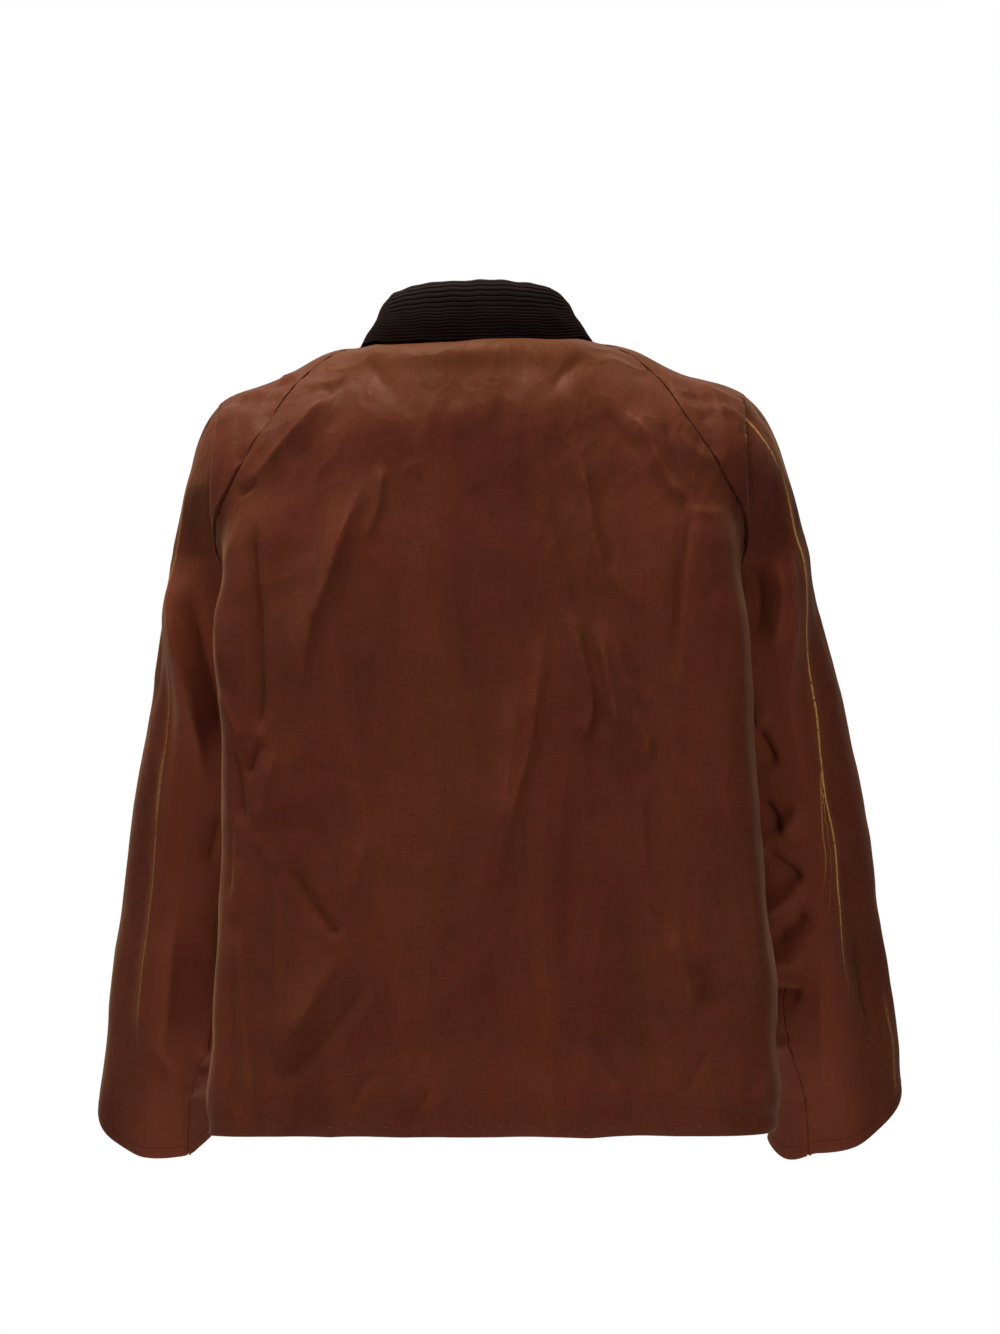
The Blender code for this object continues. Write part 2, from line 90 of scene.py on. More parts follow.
# Sections of the yoke above the armpit, each from the centre back round to the centre front, in mm.
YOKE = table(
    "centre_back blade edge seam_back back outer front seam_front flank breast centre_front",
    *np.array((
        ((0, 125, -172), (122, 117, -171), (212, 90, -168), (236, 50, -168), (259, 20, -168),
         (287, -26, -172), (262, -94, -180), (212, -88, -196), (168, -110, -190), (100, -127, -186),
         (0, -134, -186)),
        ((0, 121, -128), (112, 115, -127), (180, 101, -125), (219, 81, -124), (249, 50, -118),
         (272.5, -14, -117), (250, -76, -124), (201, -102, -146), (158, -114, -141), (92, -124, -138),
         (0, -130, -138)),
        ((0, 114, -82), (100, 107, -80), (154, 94, -77), (188, 76, -73), (226, 46, -64), (246, -6, -55),
         (226, -56, -68), (176, -90, -98), (136, -103, -99), (80, -114, -100), (0, -120, -104)),
        ((0, 103, -34), (80, 94, -32), (126, 72, -30), (156, 44, -27), (170, 24, -22), (174, -2, -23.5),
         (166, -32, -30), (138, -66, -52), (110, -84, -60), (66, -100, -70), (0, -108, -78)),
        ((0, 90, -2.5), (62, 79, -2), (96, 50, -1.5), (115, 20, -1), (117, 10, 0), (118, -4, 0),
         (113, -26, -8), (104, -46, -22), (86, -66, -36), (54, -86, -52), (0, -96, -64)),
        ((0, 66, -3), (50, 53, -2.5), (76, 30, -1.5), (86, 12, -1), (88, 4, -1), (88, -6, -2),
         (85, -24, -8), (79, -38, -17), (66, -56, -28), (42, -74, -43), (0, -83, -54)),
    )) / 1000,
)
PIT = len(BODY_RINGS) - 1         # the section at the armpit


def creases(*rows):
    """Creases from rows of numbers.

    A row starts with the width of the crease's gentler side in mm and the height of its crest (or depth
    of its trough) in tenths of a mm.  Three shares in tenths follow: the steeper side's width, and how
    much of the line the crease takes to rise and to die away.  The rest is the line (x, z) in mm.
    """
    return [dict(width=width / 1000, height=height / 10000, steep=steep / 10, fade=(rise / 10, fall / 10),
                 at=[(x / 1000, z / 1000) for x, z in line])
            for width, height, steep, rise, fall, *line in rows]


BACK_CREASES = creases(
    (22, 30, 4, 3, 3, (91, -118), (109, -151), (125, -197), (147, -253), (160, -310), (168, -336)),
    (8, 22, 5, 2, 3, (84, -111), (86, -145), (93, -167), (102, -187)),
    (7, -6, 5, 3, 3, (77, -119), (80, -154), (89, -180)),
    (11, -36, 4, 2, 1, (199, -151), (196, -204), (192, -257), (192, -310), (197, -349)),
    (6, 18, 6, 2, 2, (229, -146), (234, -193), (230, -247), (229, -307)),
    (7, 24, 5, 2, 2, (230, -309), (221, -331), (209, -355)),
    (7, -32, 4, 1, 2, (194, -352), (200, -367), (206, -385)),
    (7, 20, 5, 2, 2, (207, -364), (199, -357), (192, -347)),
    (8, -28, 5, 2, 2, (224, -355), (217, -378), (213, -407), (209, -430)),
    (10, 22, 4, 3, 2, (181, -356), (187, -385), (195, -415), (199, -433)),
    (6, 18, 5, 2, 3, (201, -433), (190, -451), (180, -470)),
    (8, -28, 5, 2, 1, (172, -456), (160, -477), (147, -499), (135, -517), (126, -528)),
    (8, 16, 5, 3, 2, (148, -505), (136, -526), (124, -535)),
    (4, -10, 6, 3, 3, (162, -370), (128, -383), (89, -397)),
    (5, -18, 6, 2, 3, (227, -420), (226, -469), (228, -500)),
    (6, 18, 5, 3, 2, (219, -456), (217, -491), (219, -517)),
    (10, 20, 5, 2, 2, (217, -513), (215, -548), (212, -601), (208, -654), (207, -680)),
    (9, -16, 5, 3, 2, (223, -540), (224, -601), (223, -663), (220, -694)),
    (6, 10, 5, 3, 3, (197, -543), (186, -565), (173, -586)),
    (18, 24, 5, 3, 3, (120, -530), (144, -570), (168, -605), (193, -640)),
    (18, -22, 5, 3, 3, (93, -552), (117, -583), (144, -618), (178, -649), (199, -664)),
    (5, 12, 5, 2, 3, (144, -613), (141, -627), (138, -637)),
    (8, -16, 5, 3, 3, (100, -646), (111, -662), (122, -684)),
    (8, -18, 5, 3, 3, (49, -660), (58, -675), (66, -688)),
    (8, 12, 5, 3, 3, (32, -664), (43, -676), (59, -696)),
    (18, 16, 5, 4, 4, (94, -425), (106, -460), (122, -513)),
    (24, 22, 5, 4, 2, (-59, -235), (-51, -305), (-42, -366), (-27, -418), (-18, -462)),
    (20, 16, 5, 3, 4, (-7, -523), (-16, -444), (-28, -357), (-40, -270)),
    (6, -12, 5, 2, 3, (-24, -469), (-18, -486), (-12, -501)),
    (12, 26, 3.5, 4, 1, (-77, -227), (-89, -279), (-98, -319), (-95, -342), (-85, -358)),
    (9, -14, 5, 2, 2, (-89, -253), (-97, -288), (-103, -323), (-115, -357)),
    (14, 24, 4, 2, 3, (-120, -363), (-116, -324), (-109, -284), (-103, -245)),
    (14, 20, 4, 3, 1, (-117, -254), (-127, -298), (-140, -342), (-146, -364), (-140, -381)),
    (7, 16, 5, 2, 3, (-125, -303), (-140, -317), (-153, -330)),
    (6, -8, 5, 2, 3, (-131, -322), (-143, -345), (-150, -358)),
    (8, 14, 5, 3, 3, (-107, -205), (-126, -227), (-141, -247)),
    (22, 14, 5, 3, 4, (-139, -381), (-140, -429), (-144, -482), (-151, -504)),
    (5, -12, 5, 2, 3, (-149, -505), (-154, -514), (-161, -523)),
    (10, 14, 5, 3, 4, (-186, -385), (-196, -413), (-214, -433)),
    (20, 22, 4, 3, 3, (-159, -522), (-173, -553), (-178, -579), (-179, -601)),
    (14, -20, 5, 3, 3, (-189, -549), (-199, -580), (-211, -603)),
    (6, 14, 5, 2, 3, (-189, -564), (-187, -578), (-181, -592)),
    (6, -22, 5, 2, 2, (-194, -628), (-187, -643), (-178, -658), (-173, -672)),
    (8, -20, 5, 2, 3, (-95, -614), (-100, -634), (-110, -651), (-122, -663)),
    (9, -12, 5, 3, 3, (-135, -613), (-148, -640), (-162, -666)),
    (8, -14, 5, 3, 3, (-153, -587), (-160, -605), (-168, -619)),
    (9, -12, 5, 3, 3, (-166, -673), (-160, -686), (-158, -700)),
    (8, 12, 5, 3, 4, (-245, -591), (-240, -529), (-235, -467)),
    (5, 16, 5, 2, 3, (-250, -653), (-244, -669), (-247, -689)),
    (9, -22, 5, 3, 3, (-66, -134), (-71, -183), (-81, -227), (-89, -275)),
    (18, 24, 4, 3, 3, (-81, -86), (-95, -131), (-101, -175), (-107, -201), (-116, -236)),
    (7, -20, 5, 2, 3, (-189, -160), (-181, -202), (-175, -254), (-168, -316)),
    (14, -20, 6, 3, 4, (-103, -13), (-87, -27), (-73, -41), (-66, -61)),
    (14, -14, 6, 3, 4, (102, -11), (88, -31), (66, -60)),
    (4, 7, 6, 3, 3, (45, -103), (23, -137), (-3, -186)),
    (6, 8, 6, 3, 3, (68, -120), (56, -116), (43, -111)),
)
# Creases that run over the raglan seams, so the sleeves share them.
YOKE_CREASES = creases(
    (14, 30, 4.5, 2, 3, (-183, -155), (-161, -118), (-149, -91), (-129, -67)),
    (14, -18, 6, 3, 4, (-109, -62), (-128, -87), (-151, -122)),
    (8, -10, 5, 2, 2, (-169, -78), (-173, -114), (-187, -146)),
    (8, 18, 5, 3, 3, (-183, -87), (-197, -109), (-214, -116)),
    (6, 14, 5, 3, 3, (-187, -152), (-199, -160), (-218, -153)),
    (7, -20, 5, 2, 4, (117, -34), (129, -47), (142, -59)),
    (20, 26, 5, 3, 4, (116, -40), (142, -65), (169, -94), (194, -120), (215, -134)),
    (6, -18, 5, 3, 3, (154, -50), (140, -46), (126, -42)),
    (8, 20, 5, 3, 3, (154, -45), (137, -39), (117, -33)),
    (5, -16, 5, 3, 3, (201, -93), (208, -106), (213, -114)),
    (5, -18, 5, 3, 3, (193, -126), (203, -133), (213, -139)),
    (6, -14, 5, 3, 3, (179, -59), (186, -70), (191, -81)),
    (6, -18, 5, 2, 2, (219, -42), (206, -52), (193, -43)),
    (5, -18, 5, 2, 2, (192, -48), (183, -49), (176, -46)),
    (6, 16, 5, 2, 2, (214, -47), (202, -45), (191, -41)),
    (6, 10, 5, 3, 3, (228, -60), (217, -57), (206, -52)),
    (6, 18, 5, 2, 2, (179, -32), (168, -29), (156, -28)),
    (6, -14, 5, 2, 2, (188, -36), (177, -36), (166, -33)),
    (6, -16, 5, 2, 2, (-206, -35), (-218, -44), (-232, -48)),
    (6, 16, 5, 2, 2, (-198, -41), (-212, -50), (-227, -55)),
    (6, -16, 5, 2, 2, (-189, -48), (-201, -58), (-217, -59)),
    (6, 16, 5, 2, 2, (-201, -69), (-214, -66), (-224, -77)),
    (6, -14, 5, 2, 2, (-197, -81), (-208, -71), (-217, -70)),
    (6, -12, 5, 2, 2, (-229, -58), (-233, -77), (-234, -95)),
)
CREST = 0.0009            # how round the crests and troughs are
RIDGE = 0.0026            # reach of the sharper ridge along a crest
# Crease marks: above 0 the wax is worn pale along a crest, below 0 they paint shade along a trough.
WEAR_AND_SHADE_REACH = 0.0024       # of the wear to both sides of a crest
WEAR_AND_SHADE_HEIGHT = 0.0025      # of a crest with a wear of 1
# Swells and crumples of the hanging cloth everywhere: length and height of the waves in each set.
SWELLS = ((0.210, 0.0012), (0.120, 0.0006), (0.066, 0.00025))
CRUMPLES = ((0.085, 0.0010), (0.042, 0.0004))


def unit(vectors):
    return vectors / np.maximum(np.linalg.norm(vectors, axis=-1, keepdims=True), 1e-12)


def round_curve(knots, steps, before=None, after=None):
    """Curve of near-circular arcs through knots along axis 0, cut into steps[i] pieces in span i.

    The knots before and after only turn the ends of the curve towards them.
    """
    ends = [[] if knot is None else [knot] for knot in (before, after)]
    every = np.concatenate([*[k[None] for k in ends[0]], knots, *[k[None] for k in ends[1]]])
    chord = every[1:] - every[:-1]
    length = np.linalg.norm(chord, axis=-1, keepdims=True)
    along = unit(chord)
    inner = unit(along[:-1] * length[1:] + along[1:] * length[:-1])
    tangent = list(inner) if len(inner) else [along[0], along[0]]
    if before is None and len(inner):
        tangent.insert(0, 2 * np.sum(along[0] * inner[0], -1, keepdims=True) * along[0] - inner[0])
    if after is None and len(inner):
        tangent.append(2 * np.sum(along[-1] * inner[-1], -1, keepdims=True) * along[-1] - inner[-1])
    chord_at = len(ends[0])
    pieces = []
    for span, count in enumerate(steps):
        s = (np.arange(count) / count).reshape((-1,) + (1,) * (knots.ndim - 1))
        start, end = tangent[span], tangent[span + 1]
        reach, heading = length[span + chord_at], along[span + chord_at]
        pull_start = 2 * reach / (1 + np.sum(start * heading, -1, keepdims=True))
        pull_end = 2 * reach / (1 + np.sum(end * heading, -1, keepdims=True))
        pieces.append((1 + 2 * s) * (1 - s) ** 2 * knots[span] + s * (1 - s) ** 2 * pull_start * start
                      + s * s * (3 - 2 * s) * knots[span + 1] - s * s * (1 - s) * pull_end * end)
    return np.concatenate(pieces + [knots[-1:]])


def across(net, steps, before=None, after=None):
    return round_curve(net.swapaxes(0, 1), steps, before, after).swapaxes(0, 1)


def spans(net, step):
    """Pieces for each span along axis 0, from the mean distance between its knots."""
    length = np.linalg.norm(net[1:] - net[:-1], axis=-1)
    return [max(1, round(float(row.mean()) / step)) for row in length.reshape(len(length), -1)]


def normals(grid):
    """Outward normals of a grid whose rows rise and whose columns run clockwise seen from above."""
    return unit(np.cross(np.gradient(grid, axis=1), np.gradient(grid, axis=0)))


def smooth(share):
    """Eases from 0 to 1."""
    share = np.clip(share, 0, 1)
    return share * share * (3 - 2 * share)


def off_line(points, at):
    """How far each point lies to the left of a line, and the share of the line run to get there."""
    line = round_curve(np.array(at, float), [8] * (len(at) - 1))
    step = line[1:] - line[:-1]
    length = np.linalg.norm(step, axis=-1)
    gap = points[:, None] - line[:-1]
    share = np.clip(np.sum(gap * step, -1) / length ** 2, 0, 1)
    distance = np.linalg.norm(gap - share[..., None] * step, axis=-1)
    nearest = distance.argmin(1)
    pick = np.arange(len(points)), nearest
    left = np.sign(step[nearest, 0] * gap[pick][:, 1] - step[nearest, 1] * gap[pick][:, 0])
    run = np.concatenate([[0], np.cumsum(length)])
    return left * distance[pick], (run[nearest] + share[pick] * length[nearest]) / run[-1]


def creased(grid, lines, facing=1):
    """Lift by creases of a grid's side that faces backward (1) or forward (-1), and their wear and shade.

    The mark is above 0 along crests, where the wax is worn pale, and below 0 in troughs, where it
    paints shade into the colour.
    """
    flat = grid[..., [0, 2]].reshape(-1, 2)
    lift, wear = np.zeros((2, len(flat)))
    for crease in lines:
        line = np.array(crease["at"])
        margin = 3 * crease["width"]
        near = np.all((flat > line.min(0) - margin) & (flat < line.max(0) + margin), axis=1)
        if near.any():
            away, run = off_line(flat[near], crease["at"])
            rise, fall = crease["fade"]
            width = crease["width"] * np.where(away > 0, 1.0, crease["steep"])
            height = crease["height"] * smooth(run / rise) * smooth((1 - run) / fall)
            aside = np.sqrt(away ** 2 + CREST ** 2) - CREST
            slope = (0.45 + 130 * crease["width"]) * np.clip(1 - aside / width / 2, 0, 1) ** 1.6
            lift[near] += height * (slope + 0.50 * np.exp(-aside / RIDGE))
            wear[near] += height / WEAR_AND_SHADE_HEIGHT * np.exp(-(away / WEAR_AND_SHADE_REACH) ** 2)
    return np.stack([lift, wear]).reshape(2, *grid.shape[:2]) * smooth(facing * normals(grid)[..., 1] / 0.35)


def swell(grid):
    """Lift of a grid's points by the swells and crumples, which run on from piece to piece."""
    random = np.random.default_rng(7)
    lift = np.zeros(grid.shape[:2])
    for length, height in SWELLS:
        for _ in range(6):
            heading = unit(random.normal(size=3) * (1, 1, 0.45)) * 2 * math.pi / length
            lift += height / 2.2 * np.sin(grid @ heading + random.uniform(0, 2 * math.pi))
    for length, height in CRUMPLES:
        for _ in range(7):
            heading = unit(random.normal(size=3) * (1, 0.6, 0.5)) * math.pi / length
            bend, patch, elsewhere = (unit(random.normal(size=3)) * math.pi / length for _ in range(3))
            wave = np.sin(grid @ heading + 0.8 * np.sin(grid @ bend * 0.5) + random.uniform(0, 2 * math.pi))
            here = smooth(np.sin(grid @ patch * 0.6 + random.uniform(0, 6)) * np.sin(grid @ elsewhere * 0.8))
            lift -= height * here * np.sqrt(wave ** 2 + 0.003)
    return lift


SQUARED, ROUNDED = 5.5, 2.6       # exponents of the body's section as it hangs and as it is cut
SHOULDER_DROP = 0.0043            # by which the shoulders' cloth sinks
CORNER_OUT = 0.006                # by which the body's lower corners stand out
CUFF_OUT, CUFF_DOWN = (0.014, -0.005), (0.002, 0.015)      # of the cuffs' inner ends, left and right


def settled(grid, body=True):
    """The grid with the body squared where it folds round at its sides, and the shoulders settled."""
    x, y, z = np.moveaxis(grid, -1, 0)
    levels = [ring["z"] for ring in BODY_RINGS]
    half, lean, side, back = (np.interp(z, levels, [ring[key] for ring in BODY_RINGS])
                              for key in ("half_width", "lean", "side", "back"))
    share = np.abs(x - lean) / half
    inside = np.minimum(share, 0.985)
    squarer = (1 - inside ** SQUARED) ** (1 / SQUARED) - (1 - inside ** ROUNDED) ** (1 / ROUNDED)
    squarer = squarer * smooth((-0.12 - z) / 0.10) * smooth((1.12 - share) / 0.12)
    squarer = squarer * smooth((y - side + 0.01) / 0.04)
    drop = smooth((np.abs(x) - 0.085) / 0.03) * smooth((z + 0.175) / 0.06)
    neck = smooth((z + 0.024) / 0.018) * smooth(1 - z / 0.035) * smooth((0.100 - np.abs(x)) / 0.03)
    drop = drop + 0.55 * neck * smooth((y - 0.02) / 0.03)
    corner = body * smooth((-0.690 - z) / 0.018) * smooth((np.abs(x) - 0.15) / 0.08)
    cuff = (not body) * smooth((0.298 - np.abs(x)) / 0.035) * smooth((-0.64 - z) / 0.05)
    out = CORNER_OUT * np.sign(x) * corner + np.where(x > 0, *CUFF_OUT) * cuff
    down = SHOULDER_DROP * drop + np.where(x > 0, *CUFF_DOWN) * cuff
    return grid + np.stack([out, (back - side) * squarer, -down], axis=-1)


def run_along(line):
    """Distance from a line's first point to each of its points."""
    return np.concatenate([[0], np.cumsum(np.linalg.norm(line[1:] - line[:-1], axis=-1))])


def pucker(edge, start):
    """Small puckers along a seam, measured from the row at its start."""
    run = run_along(edge)
    run = run - run[start]
    return PUCKER * sum(np.sin(run * 2 * math.pi / length + phase) for length, phase in PUCKERS)


def seamed(grid, start):
    """The grid with both side edges puckered and turned in to the seams, as two more columns each."""
    outward = normals(grid)
    for edge in (0, -1):
        ends = grid[:, edge]
        reach = np.linalg.norm(grid - ends[:, None], axis=-1)
        lift = (pucker(ends, start)[:, None] + SEAM_LIFT) * np.exp(-(reach / SEAM_REACH) ** 2)
        grid = grid + lift[..., None] * outward
    turned = []
    for edge, beside in ((0, 1), (-1, -2)):
        inward, out = unit(grid[:, beside] - grid[:, edge]), outward[:, edge]
        border = grid[:, edge] + SEAM_GAP / 2 * inward
        turned.append((border - TURNED_IN * out, border - EDGE_ROUND * out,
                       border + EDGE_ROUND * inward - 0.0001 * out))
    left, right = turned
    return np.concatenate([np.stack(left, 1), grid[:, 1:-1], np.stack(right[::-1], 1)], axis=1)


def hemmed(grid, radius, depth):
    """The grid with rows before its first that roll under and run up inside it."""
    grid = grid[1:]
    out, down = normals(grid), unit(grid[0] - grid[1])
    count = max(1, round(depth / float(np.linalg.norm(grid[1] - grid[0], axis=-1).mean())))
    flap = (grid - 2 * radius * out)[1:count + 1][::-1]
    turns = np.radians(np.arange(180, 0, -30))[:, None, None]
    roll = grid[0] - radius * out[0] + radius * (np.cos(turns) * out[0] + np.sin(turns) * down)
    return np.concatenate([flap, roll, grid])


def cut_lengths(grid):
    """Distance of each point from the middle column and from the first row, along the cloth."""
    lengths = [np.cumsum(np.linalg.norm(np.diff(grid, axis=axis), axis=-1), axis=axis) for axis in (1, 0)]
    u = np.pad(lengths[0], ((0, 0), (1, 0)))
    v = np.pad(lengths[1], ((1, 0), (0, 0)))
    return np.stack([u - u[:, u.shape[1] // 2, None], v], axis=-1)


def over(whole, values, blank=0.0):
    """Marks of a grid carried on over its turned edges, and left blank on its turned-up hem."""
    values = np.pad(values, ((0, 0), (2, 2)), mode="edge")
    return np.pad(values, ((whole.shape[0] - len(values), 0), (0, 0)), constant_values=blank)


def built(name, bm, finish):
    """An object in the scene, made of the mesh that bmesh holds."""
    mesh = bpy.data.meshes.new(name)
    bm.to_mesh(mesh)
    bm.free()
    mesh.materials.append(finish)
    made = bpy.data.objects.new(name, mesh)
    bpy.context.scene.collection.objects.link(made)
    return made


def cloth(name, grid, finish, thickness=CLOTH, **marks):
    """A sheet through a grid of points, with its wall on the inner side."""
    rows, columns = grid.shape[:2]
    bm = bmesh.new()
    bmesh.ops.create_grid(bm, x_segments=columns - 1, y_segments=rows - 1, size=1)
    made = built(name, bm, finish)
    mesh = made.data
    spots = np.empty(rows * columns * 3)
    mesh.vertices.foreach_get("co", spots)
    spots = (spots.reshape(-1, 3) + 1) / 2
    place = np.rint(spots[:, 1] * (rows - 1)).astype(int), np.rint(spots[:, 0] * (columns - 1)).astype(int)
    mesh.vertices.foreach_set("co", grid[place].ravel())
    corners = np.empty(len(mesh.loops), int)
    mesh.loops.foreach_get("vertex_index", corners)
    mesh.uv_layers.new(name="cut").uv.foreach_set("vector", cut_lengths(grid)[place][corners].ravel())
    for mark, values in marks.items():
        mesh.attributes.new(mark, "FLOAT", "POINT").data.foreach_set("value", values[place].ravel())
    mesh.shade_smooth()
    mesh.update()
    wall = made.modifiers.new("wall", "SOLIDIFY")
    wall.thickness = thickness
    wall.offset = -1
    return made


class Shade:
    """A shader socket that adds, multiplies and so on like a number."""

    def __init__(self, tree, socket=None):
        self.tree = tree
        self.socket = socket

    def node(self, kind, settings, values, output=0):
        made = self.tree.nodes.new("ShaderNode" + kind)
        for name, setting in settings.items():
            setattr(made, name, setting)
        for place, value in values.items():
            if isinstance(value, Shade):
                self.tree.links.new(value.socket, made.inputs[place])
            else:
                made.inputs[place].default_value = value
        return Shade(self.tree, made.outputs[output])

    def maths(self, operation, *values):
        return self.node("Math", {"operation": operation}, dict(enumerate(values)))

    def __add__(self, other):
        return self.maths("ADD", self, other)

    def __radd__(self, other):
        return self.maths("ADD", other, self)

    def __sub__(self, other):
        return self.maths("SUBTRACT", self, other)

    def __rsub__(self, other):
        return self.maths("SUBTRACT", other, self)

    def __mul__(self, other):
        return self.maths("MULTIPLY", self, other)

    def __abs__(self):
        return self.maths("ABSOLUTE", self)

    def ease(self, low, high):
        """From 0 at low to 1 at high, smoothly."""
        return self.node("MapRange", {"interpolation_type": "SMOOTHSTEP"},
                         {0: self, 1: low, 2: high, 3: 0.0, 4: 1.0})

    def mix(self, other, share):
        """This colour, mixed towards another."""
        return self.node("Mix", {"data_type": "RGBA"}, {0: share, 6: self, 7: other}, 2)

    def stretched(self, x, y, z):
        return self.node("VectorMath", {"operation": "MULTIPLY"}, {0: self, 1: (x, y, z)})

    def noise(self, scale, detail=2.0, roughness=0.5, distortion=0.0):
        return self.node("TexNoise", {}, {"Vector": self, "Scale": scale, "Detail": detail,
                                          "Roughness": roughness, "Distortion": distortion})

    def bump(self, strength, distance):
        return self.node("Bump", {}, {"Strength": strength, "Distance": distance, "Height": self})

    def mark(self, name):
        """A float attribute of the mesh."""
        return self.node("Attribute", {"attribute_name": name}, {}, 2)

    def colour(self, red, green, blue):
        made = self.node("RGB", {}, {})
        made.socket.default_value = (red, green, blue, 1)
        return made


def finish_of(name, constants):
    """A material, its Principled shader with the constants set, and the place to start its nodes."""
    made = bpy.data.materials.new(name)
    made.use_nodes = True
    shader = made.node_tree.nodes["Principled BSDF"]
    for place, value in constants.items():
        shader.inputs[place].default_value = value
    return made, shader, Shade(made.node_tree)


def fed(shader, place, value):
    value.tree.links.new(value.socket, shader.inputs[place])


def waxed_cotton():
    made, shader, start = finish_of("waxed_cotton", {
        "Specular IOR Level": 0.08, "Sheen Weight": 0.13, "Sheen Roughness": 0.40,
        "Sheen Tint": (1.0, 0.52, 0.24, 1),
        "Specular Tint": (1.0, 0.66, 0.36, 1)})
    place = start.node("TexCoord", {}, {}, 3)
    cut = start.node("UVMap", {"uv_map": "cut"}, {})
    clouds = place.stretched(1, 1, 0.6).noise(13.0, 4.0, 0.55)
    blotches = place.noise(60.0, 3.0, 0.6)
    upright = cut.stretched(1, 0.06, 1).noise(620.0, 2.0)
    level = cut.stretched(0.06, 1, 1).noise(620.0, 2.0)
    streaks = place.stretched(1, 1, 0.25).noise(15.0, 4.0, 0.55, 0.8)
    faded = place.stretched(1, 1, 0.45).noise(7.0, 3.0, 0.5, 0.8).ease(0.46, 0.66)
    speck = cut.noise(900.0, 1.0).ease(0.735, 0.80)
    height_up = start.node("SeparateXYZ", {}, {0: place}, 2)
    # Painted light: the colour turns paler and more golden towards the shoulders and collar, in patches, as
    # if lit from above.
    painted_top_light = height_up.ease(-0.10, 0.01) * (0.5 + clouds * 0.9)
    # The crease mark is wear on crests, where the wax is rubbed pale, and painted shade in troughs.
    wear, gold, gold_at = start.mark("wear"), start.mark("gold"), start.mark("gold_at")
    rubbed = wear.ease(0.1, 1.4) * blotches.ease(0.35, 0.6)
    wander = cut.noise(160.0, 2.0)
    # The golden line along the press creases is partly worn wax and partly painted highlight; the halo round
    # it is a painted glow.
    line = 1.0 - abs(gold_at + (wander - 0.5) * 0.0008).ease(0.0002, 0.0012)
    halo = 1.0 - abs(gold_at).ease(0.001, 0.008)
    broken = cut.noise(300.0, 3.0).ease(0.30, 0.50)
    colour = start.colour(0.091, 0.0180, 0.0094)
    for tone, share in (
            ((0.076, 0.0186, 0.0088), (clouds * 0.65 + blotches * 0.35).ease(0.40, 0.62)),
            ((0.066, 0.0132, 0.0086), streaks.ease(0.52, 0.62) * 0.55),
            ((0.100, 0.0240, 0.0112), (1.0 - streaks).ease(0.53, 0.62) * 0.55),
            ((0.112, 0.0290, 0.0118), faded * 0.25),
            ((0.060, 0.0125, 0.0064), (upright * 0.5 + level * 0.5).ease(0.48, 0.66) * 0.50),
            ((0.36, 0.22, 0.14), speck * 0.35),
            # painted light from above, on the shoulders and under the collar
            ((0.098, 0.0290, 0.0092), painted_top_light * 0.75),
            ((0.20, 0.050, 0.020), rubbed * 0.34),
            # painted shade: darker along the crease troughs, where the mark is below 0
            ((0.030, 0.0060, 0.0030), (wear * -1.0).ease(0.1, 1.4) * 0.42),
            # painted light: paler on the sleeves' inner sides, in the body's shade
            ((0.170, 0.0380, 0.0190), start.mark("brushed") * 0.70),
            # paler turned hems and cuffs: partly worn wax, partly a painted rim of light along the edges
            ((0.30, 0.150, 0.075), start.mark("edge") * (blotches * 0.9 + 0.1)),
            # painted highlight: a golden glow to both sides of the press creases
            ((0.24, 0.080, 0.022), halo * gold * 0.20),
            # the golden line itself: worn wax, and a painted highlight where the crease catches the light
            ((0.60, 0.31, 0.10), line * gold * broken)):
        colour = colour.mix(start.colour(*tone), share)
    fed(shader, "Base Color", colour)
    fed(shader, "Roughness", 0.46 + clouds * 0.16)
    upper = height_up.ease(-0.30, -0.05)
    crumples = 0.0
    for scale, height in ((10.0, 1.9), (26.0, 0.62), (58.0, 0.17)):
        fold = abs(place.stretched(1, 1, 0.55).noise(scale, 1.0, 0.5, 0.6) - 0.5)
        crumples = crumples + fold * (height * 4.0)
    crumples = crumples * (upper * 1.5 + 0.6)
    weave = (upright + level) * 0.09
    fed(shader, "Normal", (weave - crumples).bump(1.0, 0.001))
    return made


def thread(name, color):
    made, shader, start = finish_of(name, {"Specular IOR Level": 0.2})
    place = start.node("TexCoord", {}, {}, 3)
    ply = place.noise(2600.0, 2.0)
    grooves = start.colour(*(part * 0.45 for part in color))
    fed(shader, "Base Color", start.colour(*color).mix(grooves, ply.ease(0.4, 0.6)))
    fed(shader, "Roughness", 0.6 + ply * 0.2)
    return made


def read_at(at, run, values):
    """Vectors at given distances along a line, from those at its points."""
    return np.stack([np.interp(at, run, values[:, axis]) for axis in range(3)], axis=1)


def spaced(line, pitch, *beside):
    """Points of a line, and of what runs beside it, at even distances."""
    run = run_along(line)
    at = (np.arange(int(run[-1] / pitch)) + 0.5) * pitch
    return [read_at(at, run, values) for values in (line, *beside)]


def stitches(name, grid, at, finish, pitch, size):
    """Small flattened stitches along a row or column of a grid: each one's length, width and height."""
    line, bm = grid[at], bmesh.new()
    for place, ahead, away in zip(*spaced(line, pitch, np.gradient(line, axis=0), normals(grid)[at])):
        ahead, away = unit(ahead), unit(away)
        turned = np.eye(4)
        turned[:3, :3] = np.stack([ahead, np.cross(away, ahead), away], 1) * np.array(size) / 2
        turned[:3, 3] = place + STITCH_LIFT * away
        bmesh.ops.create_icosphere(bm, subdivisions=1, radius=1, matrix=Matrix(turned))
    made = built(name, bm, finish)
    made.data.shade_smooth()
    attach(made, "jacket")
    return made


def body_ring(ring, side):
    points = []
    for share, depth in BODY_RAILS.values():
        reach = ring["back"] - ring["side"] if depth > 0 else ring["side"] - ring["front"]
        x = side * share * ring["half_width"]
        points.append((x + ring["lean"], ring["side"] + depth * reach, ring["z"] + ring["tilt"] * x))
    return points


def body_rails(side, first, last):
    return np.array([body_ring(ring, side)[first:last] for ring in BODY_RINGS])


